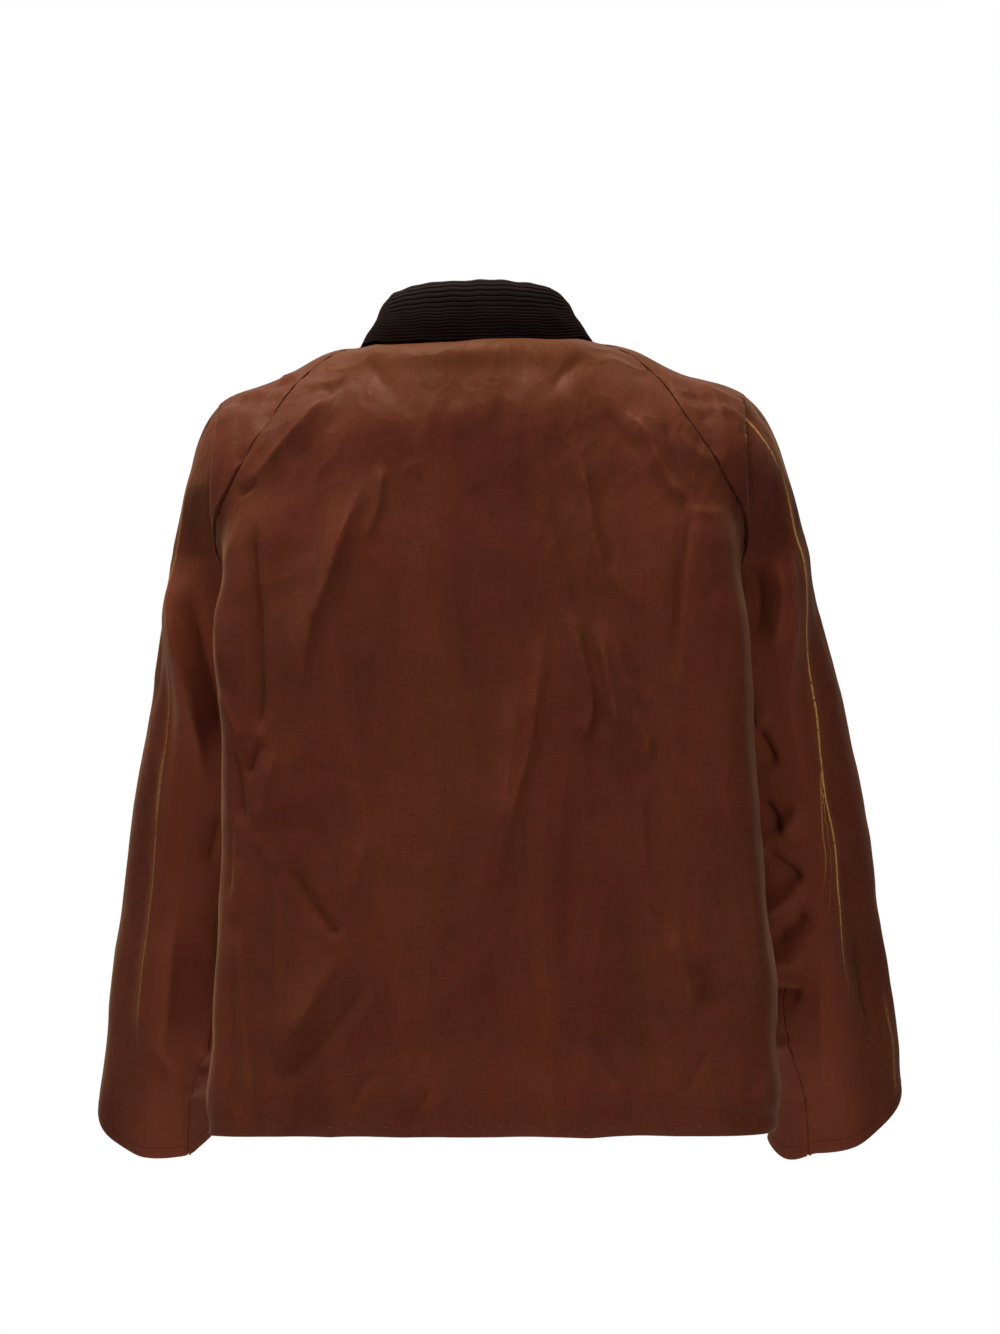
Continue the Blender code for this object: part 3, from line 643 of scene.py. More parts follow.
def armpit(side):
    """Where the side seam, the underarm seam and both raglan seams meet."""
    return body_rails(side, 0, 7)[-1, list(BODY_RAILS).index("side_seam")]


def yoke_rails(side, *names):
    return np.array([[section[name] for name in names] for section in YOKE]) * (side, 1, 1)


def raglan_seam(side, name):
    """Rows of a raglan seam from the armpit to the neck."""
    knots = np.array([armpit(side), *yoke_rails(side, name)[:, 0]])
    return round_curve(knots, rows_up[PIT:])


def body_rows(side, first, last, seam, names):
    """Rows of the body's rails up to the armpit and on over the yoke; the rail at seam ends each half."""
    lower = body_rails(side, first, last)
    upper = yoke_rails(side, *names)
    rows = round_curve(np.concatenate([lower, upper]), rows_up)
    side_seam = round_curve(lower[:, seam], rows_up[:PIT])
    rows[:, seam] = np.concatenate([side_seam, raglan_seam(side, names[seam])[1:]])
    return rows


waxed = waxed_cotton()
back_rails = np.concatenate([body_rails(1, 0, 4), yoke_rails(1, "centre_back", "blade", "edge", "seam_back")])
rows_up = spans(back_rails, ROW_STEP)       # facets between neighbouring sections
pit_row = sum(rows_up[:PIT])
widest_rows = slice(sum(rows_up[:PIT - 2]), sum(rows_up[:PIT + 3]))

halves = [body_rows(side, 0, 5, 3, ("centre_back", "blade", "edge", "seam_back", "back")) for side in (1, -1)]
rows = np.concatenate([halves[0][:, ::-1], halves[1][:, 1:]], axis=1)
steps = spans(rows[widest_rows, 1:-1].swapaxes(0, 1), FACET)
grid = across(rows[:, 1:-1], steps, before=rows[:, 0], after=rows[:, -1])
grid = settled(grid)
# The shoulder blades lift the cloth.
BLADES, BLADES_Z, BLADES_REACH = 0.0075, -0.078, 0.040      # height, level and reach up and down
blades = BLADES * np.exp(-((grid[..., 2] - BLADES_Z) / BLADES_REACH) ** 2)
blades = blades * smooth((0.19 - np.abs(grid[..., 0])) / 0.15)
lift, wear = creased(grid, BACK_CREASES + YOKE_CREASES)
lift = lift + swell(grid) + blades * smooth(normals(grid)[..., 1] / 0.5)
grid = grid + lift[..., None] * normals(grid)
back_grid = seamed(grid, pit_row)
grid = hemmed(back_grid, HEM_RADIUS, HEM_DEPTH)
# The edge mark paints the turned-up hem paler: partly worn wax, partly painted rim light.
back = cloth("back_cloth", grid, waxed, wear=over(grid, wear), edge=over(grid, 0 * wear, 0.7))
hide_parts("back")
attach(back, "jacket")
pale_thread = thread("pale_thread", (0.21, 0.10, 0.06))
hem_stitches = stitches("back_hem_stitches", back_grid, STITCH_ROW, pale_thread, **PRICKS)

# ---------------------------------------------------------------- fronts
# Two fronts of the same waxed cotton, plain.  Their edges beside the zip are turned under and
# stitched down, and their hems are turned up and caught with prick stitches like the back's.
STITCHING = dict(pitch=0.0032, size=(0.0026, 0.0007, 0.0005))      # along the front edges and cuffs
ZIP_HALF_GAP = 0.005      # from the centre line to a front edge
FRONT_FACET = 0.0035
PLAIN_EDGE = 0.035        # width along a front edge over which the creases die away
FRONT_CREASES = creases(
    (24, 22, 7, 4, 5, (60, -150), (95, -240), (110, -350)),
    (14, -20, 5, 3, 4, (150, -190), (120, -260), (60, -330)),
    (12, 20, 4.5, 3, 4, (175, -260), (150, -330), (110, -400)),
    (24, -18, 8, 4, 5, (50, -400), (70, -500), (60, -600)),
    (20, 20, 6, 4, 4, (180, -420), (150, -500), (140, -620)),
    (14, 14, 6, 4, 3, (110, -540), (120, -610), (105, -680)),
    (10, 14, 5, 3, 4, (130, -110), (100, -130), (60, -135)),
)
dark_thread = thread("dark_thread", (0.045, 0.018, 0.011))


def mirrored(lines, side):
    """Creases on the left (1), or their mirror images on the right (-1)."""
    return [{**crease, "at": [(side * x, z) for x, z in crease["at"]]} for crease in lines]


def front(name, side):
    """The front and its grid, whose last column runs up the front edge."""
    rows = body_rows(side, 2, 7, 1, ("front", "seam_front", "flank", "breast", "centre_front"))
    rows[:, -1, 0] += side * ZIP_HALF_GAP
    steps = spans(rows[widest_rows, 1:].swapaxes(0, 1), FRONT_FACET)
    plain = across(rows[:, 1:], steps, before=rows[:, 0])
    grid = settled(plain[:, ::-side])
    edge = np.linalg.norm(grid - settled(plain)[:, -1:], axis=-1)
    lift, wear = creased(grid, mirrored(FRONT_CREASES, side), -1)
    lift = (lift + swell(grid)) * smooth(edge / PLAIN_EDGE)
    grid = grid + lift[..., None] * normals(grid)
    seams = seamed(grid, pit_row)
    grid = hemmed(seams, HEM_RADIUS, HEM_DEPTH)
    # The edge mark paints the turned-up hem paler: partly worn wax, partly painted rim light.
    made = cloth(name + "_cloth", grid, waxed, wear=over(grid, wear), edge=over(grid, 0 * wear, 0.7))
    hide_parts(name)
    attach(made, "jacket")
    hem = stitches(name + "_hem_stitches", seams, STITCH_ROW, pale_thread, **PRICKS)
    edge_column = slice(1, None), 4 if side > 0 else -5
    edge = stitches(name + "_edge_stitches", seams, edge_column, dark_thread, **STITCHING)
    return plain


front_grids = {side: front(name, side) for name, side in (("front_left", 1), ("front_right", -1))}

# ---------------------------------------------------------------- sleeves
# Raglan sleeves cut in one piece each, closed by a seam under the arm, their cuffs turned in and
# stitched down.  A press crease runs down the back of each; its golden line is partly worn wax and
# partly a painted highlight where the crease catches the light, with a painted glow to both sides.
SQUARENESS = 5.0          # of the inner half of a sleeve's section, where 2 is an ellipse
OUTER_FLAT = 0.13         # share of its depth by which the outer half is flatter
SLEEVE_FACETS = 46        # across each quarter of a sleeve
CUFF_RADIUS = 0.0016      # of the roll at the cuff's edge
CUFF_DEPTH = 0.012        # of the cloth turned in there

# Rings of the sleeve from below the armpit to the cuff: its centre, the outermost x, the rise of the
# ring towards the outside, what the right sleeve's rises more and the left's less, its dip towards
# the back, and the underarm seam's angle from the outside round the back.
SLEEVE_RINGS = table(
    "z outer half_width y half_depth rise uneven dip seam",
    (-0.335, 0.3200, 0.0560, -0.082, 0.060, 0.06, 0.00, 0.12, 176),
    (-0.450, 0.3440, 0.0590, -0.112, 0.052, 0.12, 0.02, 0.25, 162),
    (-0.590, 0.3690, 0.0605, -0.146, 0.046, 0.12, 0.04, 0.45, 131),
    (-0.675, 0.3820, 0.0635, -0.170, 0.042, 0.18, 0.08, 0.65, 121),
    (-0.714, 0.3865, 0.0675, -0.184, 0.040, 0.25, 0.11, 0.80, 116),
)
PIT_RING = dict(back=(0.249, 0.006, -0.236), outer=(0.3015, -0.052, -0.243), front=(0.264, -0.110, -0.247))
# How far the outside of both sleeves swings along X at each sleeve ring, the pit and each yoke section.
SLEEVE_LEAN = (0.001, -0.001, -0.002, -0.005, -0.006, -0.0055, -0.005, -0.004, -0.001, 0.0, 0.0, 0.0)

SLEEVE_CREASES = {
    1: creases(
        (14, -34, 4.5, 3, 2, (269, -218), (254, -273), (243, -318), (242, -366)),
        (20, 47, 6, 3, 4, (285, -190), (276, -263), (264, -336), (260, -410)),
        (10, -24, 5, 3, 3, (244, -410), (252, -446), (260, -474)),
        (11, -50, 5, 3, 3, (240, -497), (245, -550), (256, -606)),
        (8, 27, 5, 3, 3, (263, -636), (272, -641), (279, -646)),
        (8, -24, 5, 3, 3, (264, -652), (274, -658), (280, -665)),
        (8, 24, 5, 3, 3, (267, -667), (274, -677), (278, -690)),
        (9, -22, 5, 3, 4, (320, -633), (310, -654), (296, -672)),
        (20, 30, 7, 4, 4, (290, -502), (299, -577), (313, -671)),
    ),
    -1: creases(
        (6, 16, 5, 3, 3, (-227, -62), (-230, -77), (-232, -92)),
        (16, -24, 5, 4, 4, (-243, -201), (-249, -228), (-245, -273)),
        (12, 41, 5, 3, 3, (-260, -192), (-265, -237), (-258, -282)),
        (9, 35, 5, 2, 3, (-242, -340), (-252, -342), (-255, -349)),
        (9, -46, 4.5, 2, 3, (-244, -354), (-251, -369), (-262, -389)),
        (10, -49, 4.5, 2, 3, (-246, -417), (-256, -430), (-263, -452)),
        (9, 41, 5, 3, 3, (-263, -448), (-274, -439), (-283, -424)),
        (10, -46, 4.5, 2, 2, (-249, -463), (-268, -480), (-285, -495)),
        (10, 41, 4.5, 2, 3, (-285, -496), (-272, -511), (-255, -525)),
        (10, -46, 4.5, 2, 3, (-257, -547), (-273, -536), (-288, -519)),
        (9, 35, 5, 2, 3, (-259, -564), (-273, -566), (-286, -569)),
        (9, -41, 5, 2, 3, (-259, -595), (-273, -596), (-287, -601)),
        (8, 24, 5, 2, 3, (-264, -645), (-272, -645), (-280, -647)),
        (22, 38, 7, 4, 4, (-274, -165), (-276, -255), (-281, -328)),
        (24, -32, 7, 4, 4, (-340, -513), (-351, -588), (-356, -663)),
        (22, 30, 7, 4, 4, (-300, -567), (-303, -642), (-305, -709)),
    ),
}
# Creases on the fronts of both sleeves.
ELBOW_CREASES = creases(
    (10, 26, 5, 3, 4, (255, -300), (275, -330), (310, -340)),
    (11, -30, 5, 3, 4, (262, -345), (285, -385), (325, -400)),
    (10, 26, 4.5, 3, 4, (265, -420), (290, -440), (330, -435)),
    (12, -28, 5, 3, 4, (275, -470), (300, -500), (340, -510)),
    (16, 20, 6, 4, 4, (280, -560), (300, -600), (310, -660)),
    (14, 22, 6, 3, 4, (235, -120), (250, -180), (252, -250)),
)
# The press creases: a line (x, z) and the height of the ridge along it.
PRESSED = {
    1: (dict(at=((0.2523, -0.087), (0.2653, -0.123), (0.2758, -0.164), (0.2819, -0.199), (0.2858, -0.231),
                 (0.2909, -0.269), (0.2981, -0.336), (0.3058, -0.409), (0.3135, -0.474), (0.3200, -0.521),
                 (0.3255, -0.561), (0.3296, -0.596), (0.3331, -0.636), (0.3356, -0.660)),
             height=0.0015, gold=0.24, fade=(0.12, 0.15)),
        dict(at=((0.3020, -0.359), (0.3079, -0.409), (0.3103, -0.446)),
             height=0.0008, gold=0.20, fade=(0.3, 0.4))),
    -1: (dict(at=((-0.2708, -0.112), (-0.2834, -0.188), (-0.2909, -0.237), (-0.2940, -0.276),
                  (-0.3025, -0.337), (-0.3084, -0.395), (-0.3100, -0.419), (-0.3171, -0.457),
                  (-0.3212, -0.512), (-0.3254, -0.559), (-0.3296, -0.596), (-0.3309, -0.617)),
              height=0.0030, gold=0.85, fade=(0.10, 0.25)),
         dict(at=((-0.3075, -0.387), (-0.3054, -0.419), (-0.3051, -0.450), (-0.3077, -0.475),
                  (-0.2990, -0.516)), height=0.0008, gold=0.35, fade=(0.2, 0.5)),
         dict(at=((-0.2340, -0.057), (-0.2490, -0.078), (-0.2620, -0.101), (-0.2720, -0.124)),
              height=0.0004, gold=0.55, fade=(0.2, 0.3)),
         dict(at=((-0.3650, -0.590), (-0.3715, -0.650), (-0.3745, -0.705)),
              height=0.0006, gold=0.20, fade=(0.4, 0.2))),
}
PRESS_WIDTH = 0.0045      # of the ridge to each side of a press crease
HEAD_LIP, HEAD_LIP_WIDTH = 0.0035, 0.020      # of the soft lip inside the fold below
HEAD_STEP, HEAD_STEP_WIDTH = 0.0125, 0.003    # of the step back outside it
# The fold where the shoulder's cloth tips over into the hanging sleeve (x, z).
HEAD_FOLD = {
    1: ((0.2338, -0.052), (0.2337, -0.082), (0.2360, -0.130), (0.2375, -0.170), (0.2390, -0.200)),
    -1: ((-0.2377, -0.054), (-0.2366, -0.095), (-0.2370, -0.144), (-0.2380, -0.175), (-0.2390, -0.200)),
}


def sleeve_ring(ring, side):
    centre = np.array((ring["outer"] - ring["half_width"], ring["y"], ring["z"]))
    outward = ring["half_width"] * np.array((1, 0, ring["rise"] - side * ring["uneven"]))
    backward = ring["half_depth"] * np.array((0, 1, -ring["dip"]))
    angles = [math.radians(ring["seam"] - 90 * quarter) for quarter in range(5)]
    return np.array([centre + math.cos(a) * outward + math.sin(a) * backward for a in angles]) * (side, 1, 1)


def pressed(grid, lines):
    """Lift of a grid's points by press creases, with how golden they are and how far off their line."""
    flat = grid[..., [0, 2]].reshape(-1, 2)
    facing = smooth(normals(grid)[..., 1].ravel() / 0.2 + 0.5)
    lift, gold, gold_at = np.zeros(len(flat)), np.zeros(len(flat)), np.full(len(flat), 1.0)
    for line in lines:
        away, run = off_line(flat, line["at"])
        rise, fall = line["fade"]
        strength = smooth(run / rise) * smooth((1 - run) / fall) * facing
        lift += line["height"] * strength * np.exp(-np.abs(away) / PRESS_WIDTH)
        nearer = np.abs(away) < np.abs(gold_at)
        gold_at = np.where(nearer, away, gold_at)
        gold = np.where(nearer, strength * line["gold"], gold)
    return [values.reshape(grid.shape[:2]) for values in (lift, gold, gold_at)]


def tipped(grid, side):
    """Lift of the sleeve head's points: a soft lip inside the fold, and outside it a step back."""
    away, run = off_line(grid[..., [0, 2]].reshape(-1, 2), HEAD_FOLD[side])
    away = side * away
    strength = smooth(run / 0.15 + 0.2) * smooth((1 - run) / 0.10)
    lip = HEAD_LIP * np.where(away > 0, 1.0, np.exp(-(away / HEAD_LIP_WIDTH) ** 2))
    step = -HEAD_STEP * smooth(away / HEAD_STEP_WIDTH)
    fade = np.exp(-np.maximum(away - 0.005, 0) / 0.022)
    lip, step = lip * fade, step * fade
    lift = (strength * (lip + step)).reshape(grid.shape[:2])
    return lift * smooth(normals(grid)[..., 1] / 0.25 + 0.6)


def flattened(grid, side):
    """Lift that squares the sleeve between the body and the press crease, and flattens it outside that."""
    rings = SLEEVE_RINGS[::-1]
    levels = [ring["z"] for ring in rings]
    outer, half_width, depth = (np.interp(grid[..., 2], levels, [ring[key] for ring in rings])
                                for key in ("outer", "half_width", "half_depth"))
    inward = (outer - half_width - side * grid[..., 0]) / half_width
    share = np.clip(inward, 0, 0.97)
    squarer = (1 - share ** SQUARENESS) ** (1 / SQUARENESS) - (1 - share ** 2) ** 0.5
    squarer = squarer - OUTER_FLAT * np.sin(math.pi * np.clip((-inward - 0.2) / 0.8, 0, 1)) ** 1.5
    return depth * squarer * smooth(normals(grid)[..., 1] / 0.3 + 0.3) * smooth((-0.19 - grid[..., 2]) / 0.10)


def sleeve(name, side):
    pit = np.array([[PIT_RING[rail] for rail in ("back", "outer", "front")]]) * (side, 1, 1)
    rings = np.array([sleeve_ring(ring, side) for ring in reversed(SLEEVE_RINGS)])
    upper = yoke_rails(side, "back", "outer", "front")
    rails = np.concatenate([rings[:, 1:4], pit, upper])
    rails[..., 0] += np.array(SLEEVE_LEAN)[:, None]
    steps_up = spans(rails[:len(rings) + 1], ROW_STEP) + rows_up[PIT:]
    start = sum(steps_up[:len(rings)])
    under = np.concatenate([rings[:, 0] + np.outer(SLEEVE_LEAN[:len(rings)], (1, 0, 0)), [armpit(side)]])
    under = round_curve(under, steps_up[:len(rings)])
    raglans = [raglan_seam(side, seam)[1:] for seam in ("seam_back", "seam_front")]
    edges = [np.concatenate([under, raglan])[:, None] for raglan in raglans]
    rows = np.concatenate([edges[0], round_curve(rails, steps_up), edges[1]], axis=1)
    grid = settled(across(rows, [SLEEVE_FACETS] * 4)[:, ::-side], body=False)
    ridge, gold, gold_at = pressed(grid, PRESSED[side])
    # Painted light: the sleeve is marked to be painted paler on its inner side next to the body, where the
    # body shades it.
    brushed = smooth((0.330 - side * grid[..., 0] + (grid[..., 2] + 0.45) * -0.10) / 0.050)
    brushed = brushed * smooth((-0.16 - grid[..., 2]) / 0.10)
    lift, wear = (creased(grid, YOKE_CREASES + SLEEVE_CREASES[side])
                  + creased(grid, mirrored(ELBOW_CREASES, side), -1))
    lift = lift + swell(grid) + ridge + tipped(grid, side) + flattened(grid, side)
    grid = grid + lift[..., None] * normals(grid)
    seams = seamed(grid, start)
    whole = hemmed(seams, CUFF_RADIUS, CUFF_DEPTH)
    # The cuff's turned-in roll gets the edge mark in full: worn wax and painted rim light.
    made = cloth(name + "_cloth", whole, waxed, wear=over(whole, wear), brushed=over(whole, brushed),
                 edge=over(whole, 0 * wear, 1.0), gold=over(whole, gold), gold_at=over(whole, gold_at, 1.0))
    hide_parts(name)
    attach(made, "jacket")
    cuff = stitches(name + "_cuff_stitches", seams, STITCH_ROW, dark_thread, **STITCHING)
    (0.469, 0.969) if side > 0 else (0.450, 0.974)
    0.268 if side > 0 else 0.271


for name, side in (("sleeve_left", 1), ("sleeve_right", -1)):
    sleeve(name, side)

# ---------------------------------------------------------------- collar
# A stand of waxed cotton carries a fall of dark brown corduroy, which rolls over it and covers the
# neck seam.  The wales run round the neck.
CORDUROY = 0.0018         # thickness of the corduroy under its wales
WALE_PITCH = 0.0030
WALE_HEIGHT = 0.0008
WALE_ROWS = 7             # rows of the mesh to one wale
COLLAR_LEAN = 0.0025      # the collar stands a little to the left
COLLAR_FACETS = 170       # facets of the fall round the neck
STAND_FACETS = 110        # and of the stand
STAND_ROWS = 14
# Edges of the collar, each from the centre back to the front.
COLLAR_EDGES = dict(
    stand_top=((0, 0.0490, 0.0390), (0.0400, 0.0400, 0.0380), (0.0700, 0.0000, 0.0265),
               (0.0550, -0.0480, -0.0025), (0.0065, -0.0735, -0.0280)),
    fall_start=((0, 0.0494, 0.0406), (0.0404, 0.0404, 0.0396), (0.0705, 0.0000, 0.0281),
                (0.0554, -0.0483, -0.0009), (0.0065, -0.0740, -0.0264)),
    roll=((0, 0.0540, 0.0470), (0.0440, 0.0440, 0.0460), (0.0765, 0.0000, 0.0345),
          (0.0590, -0.0520, 0.0040), (0.0080, -0.0780, -0.0225)),
    fall_middle=((0, 0.0700, 0.0240), (0.0530, 0.0600, 0.0235), (0.0915, 0.0000, 0.0185),
                 (0.0730, -0.0640, -0.0170), (0.0220, -0.0960, -0.0450)),
    fall_edge=((0, 0.0820, -0.0012), (0.0465, 0.0772, -0.0008), (0.0840, 0.0488, 0.0000),
               (0.1030, 0.0060, 0.0020), (0.1060, -0.0170, -0.0008), (0.1015, -0.0470, -0.0190),
               (0.0805, -0.0830, -0.0470), (0.0400, -0.1110, -0.0760)),
)


def evenly(knots, count):
    """Points at even distances along the round curve through the knots."""
    fine = round_curve(knots, [60] * (len(knots) - 1))
    run = run_along(fine)
    return read_at(np.linspace(0, run[-1], count + 1), run, fine)


def collar_rows(edges, leans, steps, facets):
    """Rows of the whole collar from its left front round the back to its right front."""
    left = np.array([evenly(edge, facets // 2) for edge in edges])
    whole = np.concatenate([left[:, ::-1], left[:, 1:] * (-1, 1, 1)], axis=1)
    whole[..., 0] += np.array(leans)[:, None]
    return round_curve(whole, steps)


def corduroy():
    made, shader, start = finish_of("corduroy", {
        "Specular IOR Level": 0.02, "Sheen Weight": 0.06, "Sheen Roughness": 0.5,
        "Sheen Tint": (0.50, 0.28, 0.20, 1), "Roughness": 0.9})
    cut = start.node("UVMap", {"uv_map": "cut"}, {})
    nap = cut.stretched(0.35, 1, 1).noise(700.0, 3.0, 0.6)
    patches = start.node("TexCoord", {}, {}, 3).noise(38.0, 3.0, 0.6)
    groove = start.mark("wale").ease(0.15, 0.75)
    up = start.mark("up")
    # Painted light: the ribs are painted near black at the fall's lower edge and lighter towards its roll, as
    # if the roll caught the light.
    rib = start.colour(0.0030, 0.0008, 0.0008).mix(start.colour(0.0330, 0.0240, 0.0210), up * up * up)
    # painted shade: near black in the valleys between the wales
    colour = start.colour(0.0006, 0.0004, 0.0003).mix(rib, groove)
    # lighter patches of nap, painted stronger towards the roll as painted light
    nap_and_top_light = (nap * 0.6 + patches * 0.4).ease(0.45, 0.75) * 0.5 * groove * up * up
    colour = colour.mix(start.colour(0.0200, 0.0130, 0.0110), nap_and_top_light)
    fed(shader, "Base Color", colour)
    fed(shader, "Normal", nap.bump(0.5, 0.0004))
    return made


foot = np.array(list(YOKE[-1].values())) + (0, 0, 2 * SEAM_GAP)
foot[-1, 0] = ZIP_HALF_GAP
grid = collar_rows([foot, np.array(COLLAR_EDGES["stand_top"])], (0, COLLAR_LEAN), [STAND_ROWS], STAND_FACETS)
stand = cloth("collar_stand_cloth", settled(grid), waxed, CORDUROY)
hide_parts("collar_stand")
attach(stand, "jacket")

edges = [np.array(COLLAR_EDGES[name]) for name in ("fall_edge", "fall_middle", "roll", "fall_start")]
heights = [np.linalg.norm(upper[0] - lower[0]) for lower, upper in zip(edges, edges[1:])]
wales = [round(height / WALE_PITCH) for height in heights]
grid = collar_rows(edges, [COLLAR_LEAN] * len(edges), [WALE_ROWS * count for count in wales], COLLAR_FACETS)
grid = settled(grid)
row = np.arange(grid.shape[0])
wale = np.abs(np.sin(math.pi * row / WALE_ROWS)) ** 0.7
# The corduroy isn't quite even: its wales swell and sink a little, and its lower edge waves.
turn = np.linspace(-1, 1, grid.shape[1])
wobble = 0.00025 * np.sin(turn * 31 + row[:, None] * 0.11)
wobble = wobble + 0.0002 * np.sin(turn * 57 + row[:, None] * 0.05 + 2)
lift = WALE_HEIGHT * wale[:, None] + wobble
grid = grid + lift[..., None] * normals(grid)
grid[..., 2] += 0.0004 * np.sin(turn * 23 + 1) * (row[:, None] / row[-1]) + 0.0003 * np.sin(turn * 71)
ribbed = corduroy()
# The up mark runs from the fall's lower edge to its roll and sets how much lighter the corduroy is painted
# there.
fall = cloth("collar_fall_corduroy", grid, ribbed, CORDUROY, wale=np.repeat(wale[:, None], grid.shape[1], 1),
             up=np.repeat((row / row[-1] * 1.2)[:, None].clip(0, 1), grid.shape[1], 1))
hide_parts("collar_fall")
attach(fall, "jacket")

# ---------------------------------------------------------------- zip
# A brass zip, closed.  Its teeth are clamped to the edges of two woven cotton tapes, which are sewn in
# behind the edges of the fronts.  The slider and its pull are the part's own, given the same brass.
TAPE_WIDTH = 0.012
TAPE = 0.0010             # thickness of the tapes
TAPE_DEPTH = 0.0020       # of the tapes below the outside of the fronts
TAPE_COLUMNS = 9
CHAIN_HALF_WIDTH = 0.0030
TOOTH_OVERLAP = 0.0003    # of a tooth past the centre line, between the other side's
TOOTH_BEVEL = 0.0002
TOOTH = (0.0034, 0.0012, 0.0018)     # across, along the zip and through it
TOOTH_PITCH = 0.0026


def brass_finish():
    made, shader, start = finish_of("brass", {"Metallic": 1.0})
    place = start.node("TexCoord", {}, {}, 3)
    grain, tarnish = place.noise(900.0, 2.0), place.noise(140.0, 3.0)
    colour = start.colour(0.52, 0.36, 0.14).mix(start.colour(0.30, 0.19, 0.08), tarnish.ease(0.45, 0.7))
    fed(shader, "Base Color", colour)
    fed(shader, "Roughness", 0.24 + grain * 0.12 + tarnish * 0.1)
    return made


def woven_tape():
    made, shader, start = finish_of("zip_tape", {"Specular IOR Level": 0.2, "Roughness": 0.85})
    cut = start.node("UVMap", {"uv_map": "cut"}, {})
    twill = start.node("TexWave", {"wave_type": "BANDS", "bands_direction": "DIAGONAL"},
                       {"Vector": cut, "Scale": 330.0})
    fluff = cut.noise(800.0, 2.0)
    weave = twill * 0.7 + fluff * 0.3
    dark, light = start.colour(0.009, 0.0045, 0.0036), start.colour(0.026, 0.013, 0.010)
    fed(shader, "Base Color", dark.mix(light, weave))
    fed(shader, "Normal", weave.bump(0.6, 0.0003))
    return made


brass = brass_finish()
tape = woven_tape()
zip_top = len(front_grids[1]) - rows_up[-1] - rows_up[-2]
edges = {}
for name, side in (("zip_tape_left", 1), ("zip_tape_right", -1)):
    rows = settled(front_grids[side])
    inward, outward = unit(rows[:, -1] - rows[:, -2]), -side * normals(rows)[:, -1]
    edges[side] = rows[:, -1], outward
    across_tape = np.linspace(-TAPE_WIDTH, 0, TAPE_COLUMNS) + ZIP_HALF_GAP - CHAIN_HALF_WIDTH - SEAM_GAP
    grid = rows[:, -1:] + across_tape[:, None] * inward[:, None] - TAPE_DEPTH * outward[:, None]
    made = cloth(name + "_woven", grid[:zip_top + rows_up[-2], ::-side], tape, TAPE)
    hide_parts(name)
    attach(made, "jacket")

outward = unit(edges[1][1] + edges[-1][1])
middle = (edges[1][0] + edges[-1][0]) / 2 - (SEAM_GAP + TOOTH[2] / 2) * outward
middle, outward = middle[:zip_top], outward[:zip_top]
bm = bmesh.new()
for side in (1, -1):
    line, ahead, out = spaced(middle, TOOTH_PITCH, np.gradient(middle, axis=0), outward)
    for place, up, away in zip(line + side * unit(ahead) * TOOTH_PITCH / 4, unit(ahead), unit(out)):
        turned = np.eye(4)
        turned[:3, :3] = np.stack([np.cross(up, away), up, away], 1) * TOOTH
        turned[:3, 3] = place + (side * (TOOTH[0] / 2 - TOOTH_OVERLAP), 0, 0)
        bmesh.ops.create_cube(bm, size=1, matrix=Matrix(turned))
bmesh.ops.bevel(bm, geom=bm.edges[:], offset=TOOTH_BEVEL, affect="EDGES", segments=1, profile=0.5,
                material=-1)
teeth = built("zip_teeth", bm, brass)
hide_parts("zip_chain")
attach(teeth, "jacket")
for name in ("zip_slider", "zip_pull"):
    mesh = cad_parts[name].data
    mesh.materials.clear()
    mesh.materials.append(brass)

# ---------------------------------------------------------------- studio
# A pale floor well below the jacket, plain soft lamps round it, and a background that is white to the
# camera and a dim grey to everything else.
FLOOR_Z = -1.45
bm = bmesh.new()
bmesh.ops.create_grid(bm, x_segments=1, y_segments=1, size=1.6)
bmesh.ops.translate(bm, verts=bm.verts, vec=(0, 0, FLOOR_Z))
floor = built("floor", bm, finish_of("floor", {"Base Color": (0.8, 0.8, 0.8, 1), "Roughness": 0.7})[0])

bpy.context.scene.view_settings.view_transform = "Standard"
world = bpy.data.worlds.new("studio")
bpy.context.scene.world = world
world.use_nodes = True
tree = world.node_tree
start = Shade(tree)
seen = start.node("LightPath", {}, {})
background = tree.nodes["Background"]
fed(background, "Color", start.colour(0.19, 0.19, 0.195).mix(start.colour(1, 1, 1), seen))


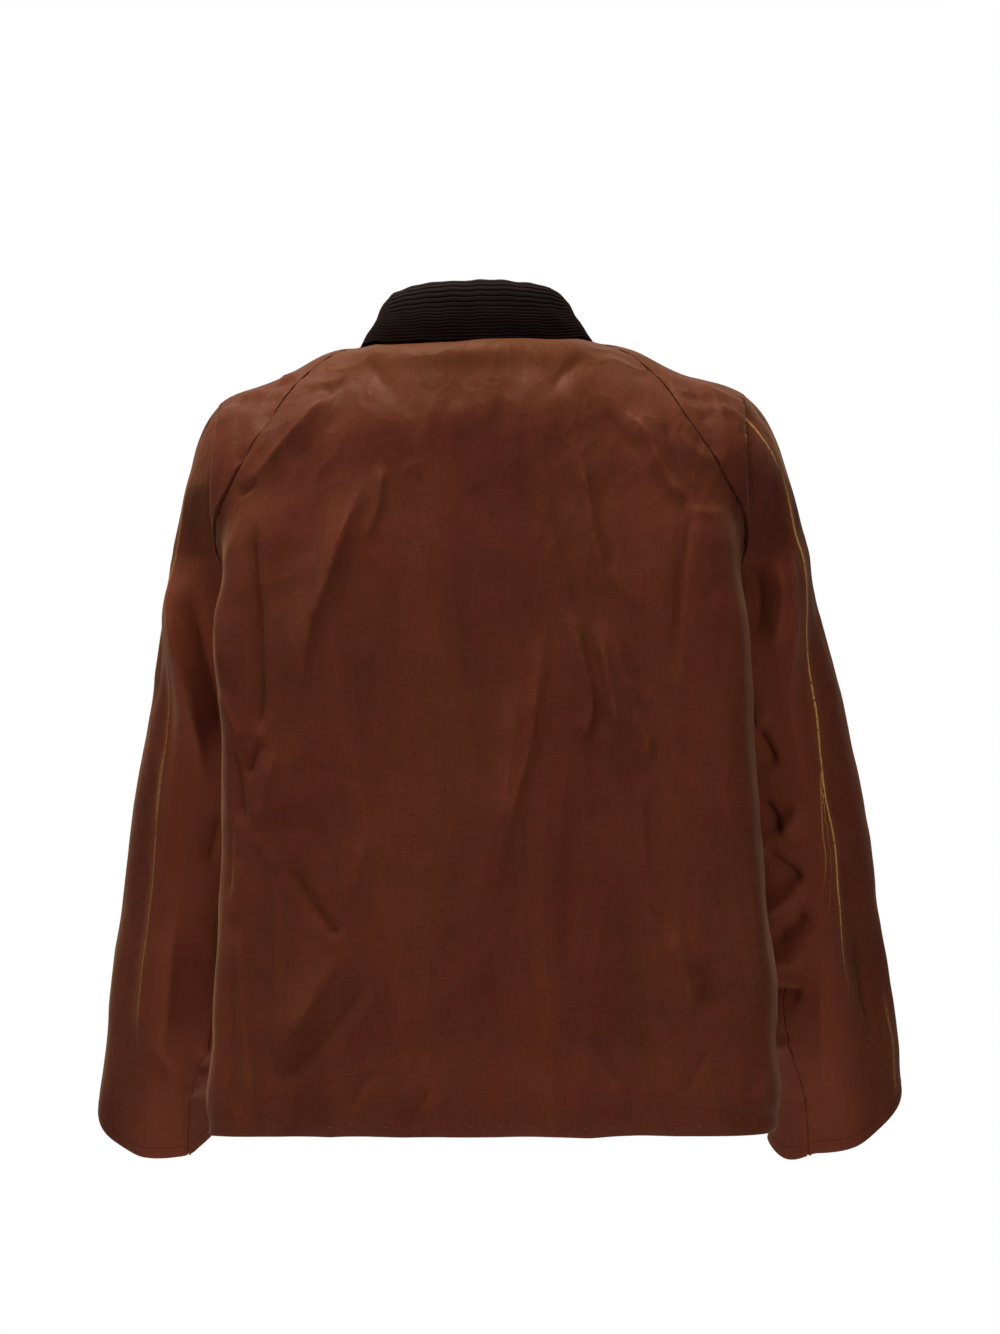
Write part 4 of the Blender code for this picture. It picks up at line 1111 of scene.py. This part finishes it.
def softbox(name, place, target, size, power):
    lamp = bpy.data.lights.new(name, "AREA")
    lamp.shape = "RECTANGLE"
    lamp.size, lamp.size_y = size
    lamp.energy = power
    made = bpy.data.objects.new(name, lamp)
    made.location = place
    aim = np.array(target, float) - np.array(place, float)
    made.rotation_euler = (math.atan2(math.hypot(aim[0], aim[1]), -aim[2]), 0, math.atan2(-aim[0], aim[1]))
    bpy.context.scene.collection.objects.link(made)
    return made


softbox("overhead", (0.4, 0.3, 2.4), (0, 0, -0.1), (2.0, 1.0), 128)
softbox("key", (2.9, 2.2, 0.6), (0, 0, -0.10), (0.8, 1.2), 30)
softbox("side_right", (-2.0, 3.2, -0.5), (-0.3, 0, -0.40), (1.0, 1.4), 19)
softbox("front", (0.0, 4.6, 0.2), (0, 0, -0.20), (3.0, 1.8), 13)
softbox("backlight", (0.0, -2.2, 1.8), (0, 0, -0.25), (3.2, 2.0), 14).visible_camera = False
softbox("low", (0.0, 1.6, -1.38), (0, 0, -0.30), (2.8, 1.0), 4).visible_camera = False

# ---------------------------------------------------------------- camera
# A long lens level behind the jacket, turned a little to one side and rolled by a degree.  A pixel
# of the finished frame is MM_PER_PX wide at MEASURED_AT_MM from it.
YAW, ROLL = math.radians(2.0), math.radians(1.0)
DISTANCE = 4.12           # from the camera to what it is aimed at
AIM_RIGHT, AIM_Z = 0.0139, -0.293
SENSOR_MM = 36.0
FRAME_HEIGHT_PX, MM_PER_PX = 1334, 0.876
MEASURED_AT_MM = 4000
right = np.array((-math.cos(YAW), -math.sin(YAW), 0.0))
look = np.array((math.sin(YAW), -math.cos(YAW), 0.0))
up = np.array((0.0, 0.0, 1.0))
aim = AIM_RIGHT * right + np.array((0, 0, AIM_Z))
lens = bpy.data.cameras.new("camera")
lens.sensor_fit = "VERTICAL"
lens.sensor_height = SENSOR_MM
lens.lens = SENSOR_MM * MEASURED_AT_MM / MM_PER_PX / FRAME_HEIGHT_PX
camera = bpy.data.objects.new("camera", lens)
rolled_right = math.cos(ROLL) * right - math.sin(ROLL) * up
rolled_up = math.cos(ROLL) * up + math.sin(ROLL) * right
matrix = np.eye(4)
matrix[:3, :3] = np.array([rolled_right, rolled_up, -look]).T
matrix[:3, 3] = aim - look * DISTANCE
camera.matrix_world = matrix.T.tolist()
bpy.context.scene.collection.objects.link(camera)
bpy.context.scene.camera = camera
